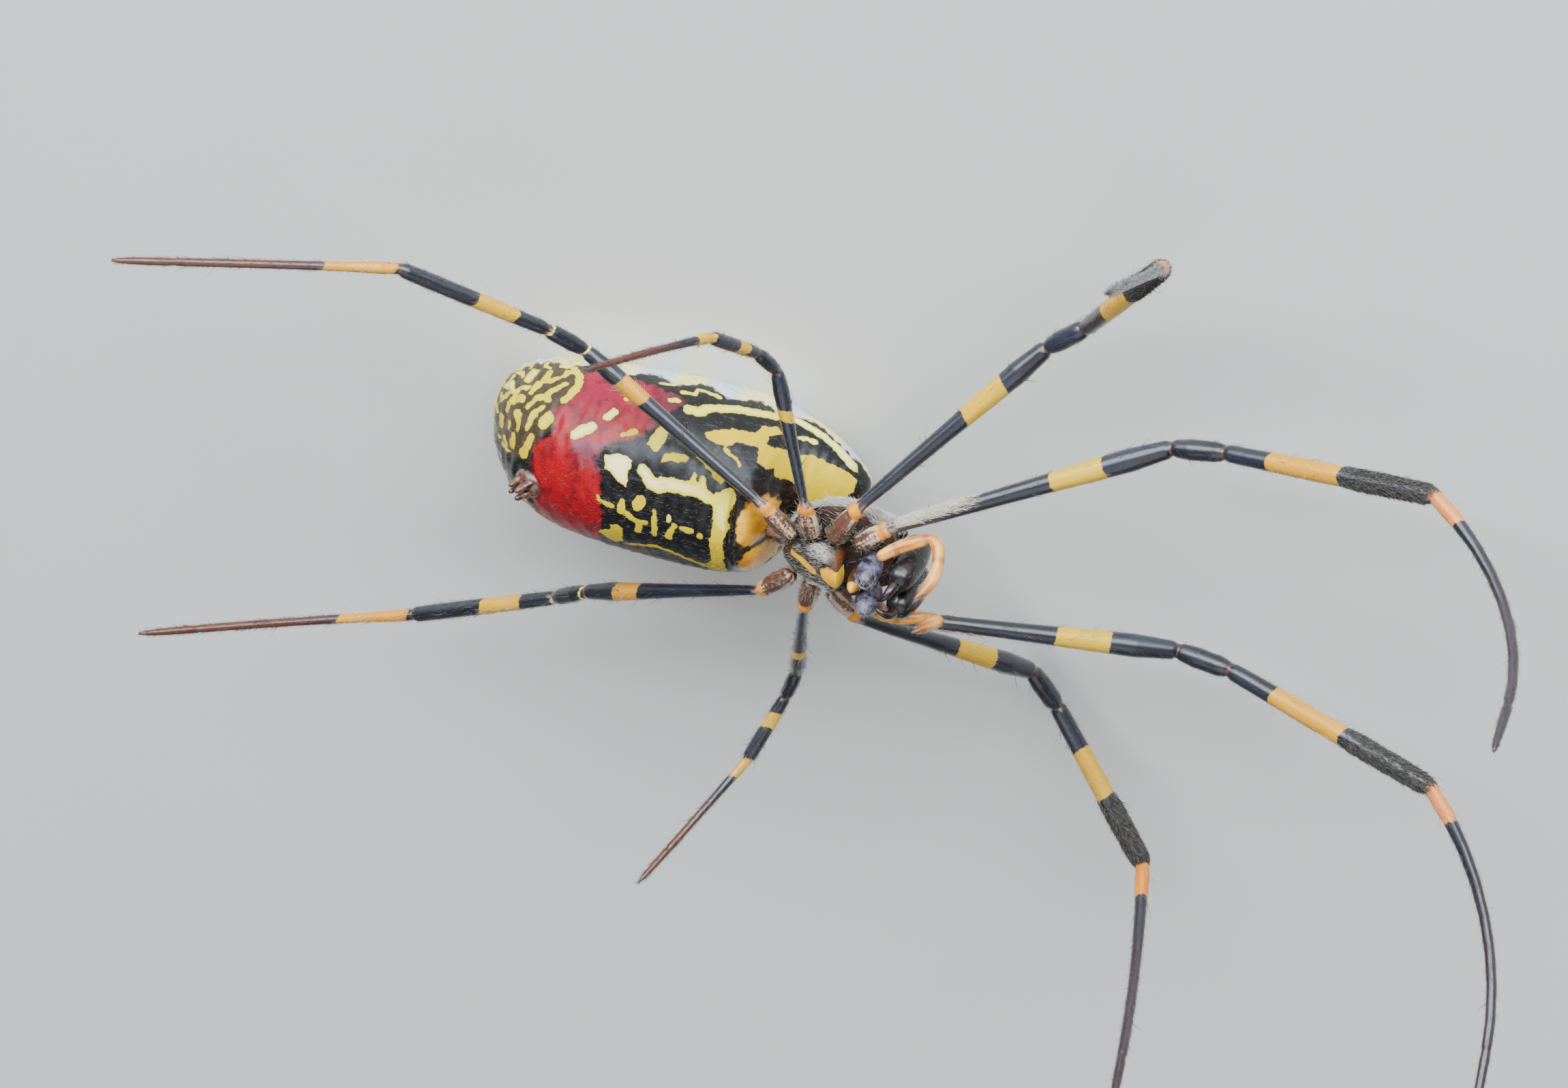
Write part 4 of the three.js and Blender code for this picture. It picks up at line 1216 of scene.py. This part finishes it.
def build_mouthparts(hair):
    """The chelicerae, their fangs and the palps."""
    rng = np.random.default_rng(8)
    jaw, fang, palp = shield_material("jaw"), shield_material("fang"), palp_material()
    for side_name, side in SIDES.items():
        name = f"chelicera_{side_name}"
        _, grid, _ = build_horn(CHELICERA, side, 0.55, 48)
        skin(f"{name}_skin", grid, jaw, [name])
        coat(f"{name}_hair", "chelicera_hair", grid, rng, (0, 0, 1.0), hair, pale=0.3)
        _, grid, _ = build_horn(FANG, side, 0.18, 24)
        skin(f"fang_{side_name}_skin", grid, fang, [f"fang_{side_name}"])
        name = f"palp_{side_name}"
        path, grid, values = build_horn(PALP, side, 0.3, 36)
        values["joint"] = sum(hill(values["share"], at, 0.03) for at in PALP["joints"])
        skin(f"{name}_skin", grid, palp, [f"{name}_femur", f"{name}_tarsus"], values)
        coat(f"{name}_hair", "palp_hair", grid, rng, limb_frames(path)[0][:, None], hair,
             0.3 + values["share"] ** 2, 0.7)


def build_waist():
    """The waist, and the spinnerets: a low mound with six cones that lean towards the rear."""
    material = shield_material("waist brown")
    path, at = resampled(PEDICEL["path"], 0.03)
    radius = round_ends(np.full(at.shape, PEDICEL["radius"]), at, 0.2)
    radius = radius * (1 - 0.12 * hill(at, at[-1] / 2, 0.15))
    skin("pedicel_skin", limb_surface(path, radius, 40), material, ["pedicel"])
    turn = np.array(Matrix.Rotation(math.radians(SPINNERETS["lean"]), 3, "Y")).T
    parts = [ball((0, 0, 0), SPINNERETS["mound"])]
    share = np.linspace(0, 1, 30)
    taper = (1 - 0.55 * share) * (1 - 0.12 * hill(share, 0.6, 0.05))
    taper = taper * np.sqrt(np.clip(1 - ramp(share, 0.86, 0.15) ** 2, 0.01, 1))
    for x, y, length, foot in SPINNERETS["cones"]:
        curve = np.array([x, y, 0]) + share[:, None] * np.array([-0.25 * x, -0.3 * y, length])
        parts.append(limb_surface(curve, foot * taper, 24))
    points, faces = closed_parts([part @ turn + SPINNERETS["at"] for part in parts])
    attach(new_mesh("spinnerets_skin", points, faces, material), ["spinnerets"])


# Stage


def add_light(scene, name, place, size, power, colour):
    """A rectangular light that looks at the lit spot, its place and size in metres."""
    light = bpy.data.lights.new(name, "AREA")
    light.shape = "RECTANGLE"
    light.size, light.size_y = size
    light.energy = power
    light.color = colour
    made = bpy.data.objects.new(name, light)
    made.location = place
    made.rotation_euler = (LIT_SPOT - Vector(place)).to_track_quat("-Z", "Y").to_euler()
    scene.collection.objects.link(made)


def add_camera(scene, stage):
    """A camera that looks at the picture's middle from the stage's azimuth, elevation and distance."""
    cos_e, sin_e = math.cos(stage.elevation), math.sin(stage.elevation)
    cos_a, sin_a = math.cos(stage.azimuth), math.sin(stage.azimuth)
    toward = Vector((cos_e * cos_a, cos_e * sin_a, sin_e))
    level = Vector((-sin_a, cos_a, 0))
    upright = Vector((-sin_e * cos_a, -sin_e * sin_a, cos_e))
    right = level * math.cos(stage.roll) + upright * math.sin(stage.roll)
    up = toward.cross(right)
    middle = (SIGHTED + SIGHTED_OFF[0] * right + SIGHTED_OFF[1] * up) * MM
    camera = bpy.data.cameras.new("camera")
    camera.lens = camera.sensor_width * stage.distance / stage.width
    camera.clip_start, camera.clip_end = 0.05, 20
    made = bpy.data.objects.new("camera", camera)
    turn = Matrix((right, up, toward)).transposed()
    made.matrix_world = Matrix.Translation(middle + toward * stage.distance) @ turn.to_4x4()
    scene.collection.objects.link(made)
    scene.camera = made


def build_stage(scene, stage):
    """A wide floor, a window light and one above, a pale room round them, and the camera."""
    paint = Paint("floor")
    grain = paint.noise(paint.place(), 0.05, 4.0)
    lighter = tuple(min(part * 1.06, 1) for part in stage.floor[:3]) + (1.0,)
    material = paint.finish(
        Base_Color=paint.mix(grain, stage.floor, lighter), Roughness=0.6 + grain * 0.1)
    corners = FLOOR_REACH * np.array([[-1, -1, 0], [1, -1, 0], [1, 1, 0], [-1, 1, 0]])
    new_mesh("floor", corners, [np.array([[0, 1, 2, 3]])], material)
    add_light(scene, "window", (0.0, 0.5, 0.2), (1.0, 0.4), stage.key, (0.86, 0.93, 1.0))
    add_light(scene, "overhead", (0.1, -0.05, 0.6), (0.6, 0.6), stage.fill, (1.0, 0.98, 0.95))
    scene.world = bpy.data.worlds.new("pale room")
    scene.world.use_nodes = True
    backdrop = scene.world.node_tree.nodes["Background"]
    backdrop.inputs["Color"].default_value = (0.8, 0.87, 1.0, 1.0)
    backdrop.inputs["Strength"].default_value = 0.24
    add_camera(scene, stage)


# Add-on


def colour_property(name, description, rgb):
    return bpy.props.FloatVectorProperty(
        name=name, description=description, subtype="COLOR", size=4, min=0, max=1, default=linear(*rgb))


def length_property(name, description, millimetres):
    return bpy.props.FloatProperty(
        name=name, description=description, subtype="DISTANCE", unit="LENGTH", precision=5,
        min=0, default=millimetres * MM)


def angle_property(name, description, degrees):
    return bpy.props.FloatProperty(
        name=name, description=description, subtype="ANGLE", default=math.radians(degrees))


def power_property(name, description, watts):
    return bpy.props.FloatProperty(name=name, description=description, unit="POWER", default=watts)


class WeaverColours(bpy.types.PropertyGroup):
    """Colours of the skin and its markings."""

    cream: colour_property("Cream", "Palest markings", (244, 232, 112))
    pale_yellow: colour_property("Pale yellow", "Lines on the belly", (218, 198, 0))
    golden: colour_property("Golden", "Patches on the flanks and leg bands", (202, 168, 0))
    orange: colour_property("Orange", "Warmest markings", (204, 102, 0))
    salmon: colour_property("Salmon", "Leg bands near the feet", (232, 132, 84))
    charcoal: colour_property("Charcoal", "Darkest ground", (10, 9, 10))
    # Painted sheen: lighter bluish grey streaks over the abdomen's black ground.
    sheen_streaks: colour_property("Ash", "Lighter streaks of the ground", (62, 62, 68))
    crimson: colour_property("Crimson", "Rear flank", (142, 8, 46))
    deep_crimson: colour_property("Deep crimson", "Rear belly", (150, 0, 14))
    cuticle: colour_property("Cuticle", "Black of the legs", (8, 8, 12))


class WeaverCoat(bpy.types.PropertyGroup):
    """Lengths of the hairs."""

    abdomen_hair: length_property("Abdomen hair", "Fine hairs of the abdomen", 0.16)
    body_hair: length_property("Body hair", "Hairs of the head and breast plate", 0.36)
    mouth_hair: length_property("Mouth hair", "Hairs of the jaws, mouth lobes and palps", 0.22)
    leg_hair: length_property("Leg hair", "Fine hairs of the legs", 0.26)
    ruff: length_property("Ruff", "White hairs that lie on the front femora", 0.28)
    brush: length_property("Brush", "Black fur round the ends of the front tibiae", 0.24)
    spine: length_property("Spines", "Strong bristles of the legs", 0.62)


class WeaverStage(bpy.types.PropertyGroup):
    """The camera's place and the light."""

    azimuth: angle_property("Azimuth", "Way to the camera, from +X", 72.38)
    elevation: angle_property("Elevation", "Height of the camera", 46.63)
    roll: angle_property("Roll", "Turn of the picture", -156.0)
    distance: length_property("Distance", "From the picture's middle to the camera", 1000)
    width: length_property("Picture width", "Width of what the camera sees", 82.14)
    key: power_property("Key light", "Power of the large window light", 14.5)
    fill: power_property("Fill light", "Power of the light above", 1.6)
    floor: colour_property("Floor", "Colour of the floor", (214, 214, 210))


class WEAVER_OT_abdomen(bpy.types.Operator):
    """Adds the abdomen's skin with its markings and hair"""

    bl_idname = "weaver.abdomen"
    bl_label = "Abdomen"

    def execute(self, context):
        build_abdomen(context.scene.weaver_colours)
        return {"FINISHED"}


class WEAVER_OT_waist(bpy.types.Operator):
    """Adds the waist and the spinnerets"""

    bl_idname = "weaver.waist"
    bl_label = "Waist and spinnerets"

    def execute(self, context):
        build_waist()
        return {"FINISHED"}


class WEAVER_OT_head(bpy.types.Operator):
    """Adds the carapace with its eyes, the breast plate and the mouthparts"""

    bl_idname = "weaver.head"
    bl_label = "Head"

    def execute(self, context):
        silver = hair_material("silver hair")
        build_carapace(silver)
        rng = np.random.default_rng(6)
        build_sternum(silver, rng)
        build_lips(silver, rng)
        build_mouthparts(silver)
        return {"FINISHED"}


class WEAVER_OT_legs(bpy.types.Operator):
    """Adds the eight legs with their bands, hair and claws"""

    bl_idname = "weaver.legs"
    bl_label = "Legs"

    def execute(self, context):
        material = leg_material(context.scene.weaver_colours)
        hair = hair_material("leg hair")
        for index in range(len(PAIRS)):
            for side_name in SIDES:
                build_leg(index, side_name, material, hair)
        return {"FINISHED"}


class WEAVER_OT_stage(bpy.types.Operator):
    """Adds the floor, the lights and the camera"""

    bl_idname = "weaver.stage"
    bl_label = "Stage"

    def execute(self, context):
        build_stage(context.scene, context.scene.weaver_stage)
        return {"FINISHED"}


class WEAVER_PT_panel(bpy.types.Panel):
    """Lists the pieces and what can be changed"""

    bl_idname = "WEAVER_PT_panel"
    bl_label = "Orb weaver"
    bl_space_type = "VIEW_3D"
    bl_region_type = "UI"
    bl_category = "Orb weaver"

    def draw(self, context):
        for group in ("weaver_colours", "weaver_coat", "weaver_stage"):
            settings = getattr(context.scene, group)
            box = self.layout.box()
            for key in settings.bl_rna.properties.keys():
                if key not in ("rna_type", "name"):
                    box.prop(settings, key)
        for piece in OPERATORS:
            self.layout.operator(piece.bl_idname)


GROUPS = {"weaver_colours": WeaverColours, "weaver_coat": WeaverCoat, "weaver_stage": WeaverStage}
OPERATORS = (WEAVER_OT_abdomen, WEAVER_OT_waist, WEAVER_OT_head, WEAVER_OT_legs, WEAVER_OT_stage)


def register():
    for group in (*GROUPS.values(), *OPERATORS, WEAVER_PT_panel):
        bpy.utils.register_class(group)
    for key, group in GROUPS.items():
        setattr(bpy.types.Scene, key, bpy.props.PointerProperty(type=group))


def unregister():
    for key in GROUPS:
        delattr(bpy.types.Scene, key)
    for group in (WEAVER_PT_panel, *reversed(OPERATORS), *reversed(GROUPS.values())):
        bpy.utils.unregister_class(group)


def main():
    register()
    bpy.ops.weaver.abdomen()
    bpy.ops.weaver.waist()
    bpy.ops.weaver.head()
    bpy.ops.weaver.legs()
    bpy.ops.weaver.stage()


if __name__ == "__main__":
    main()
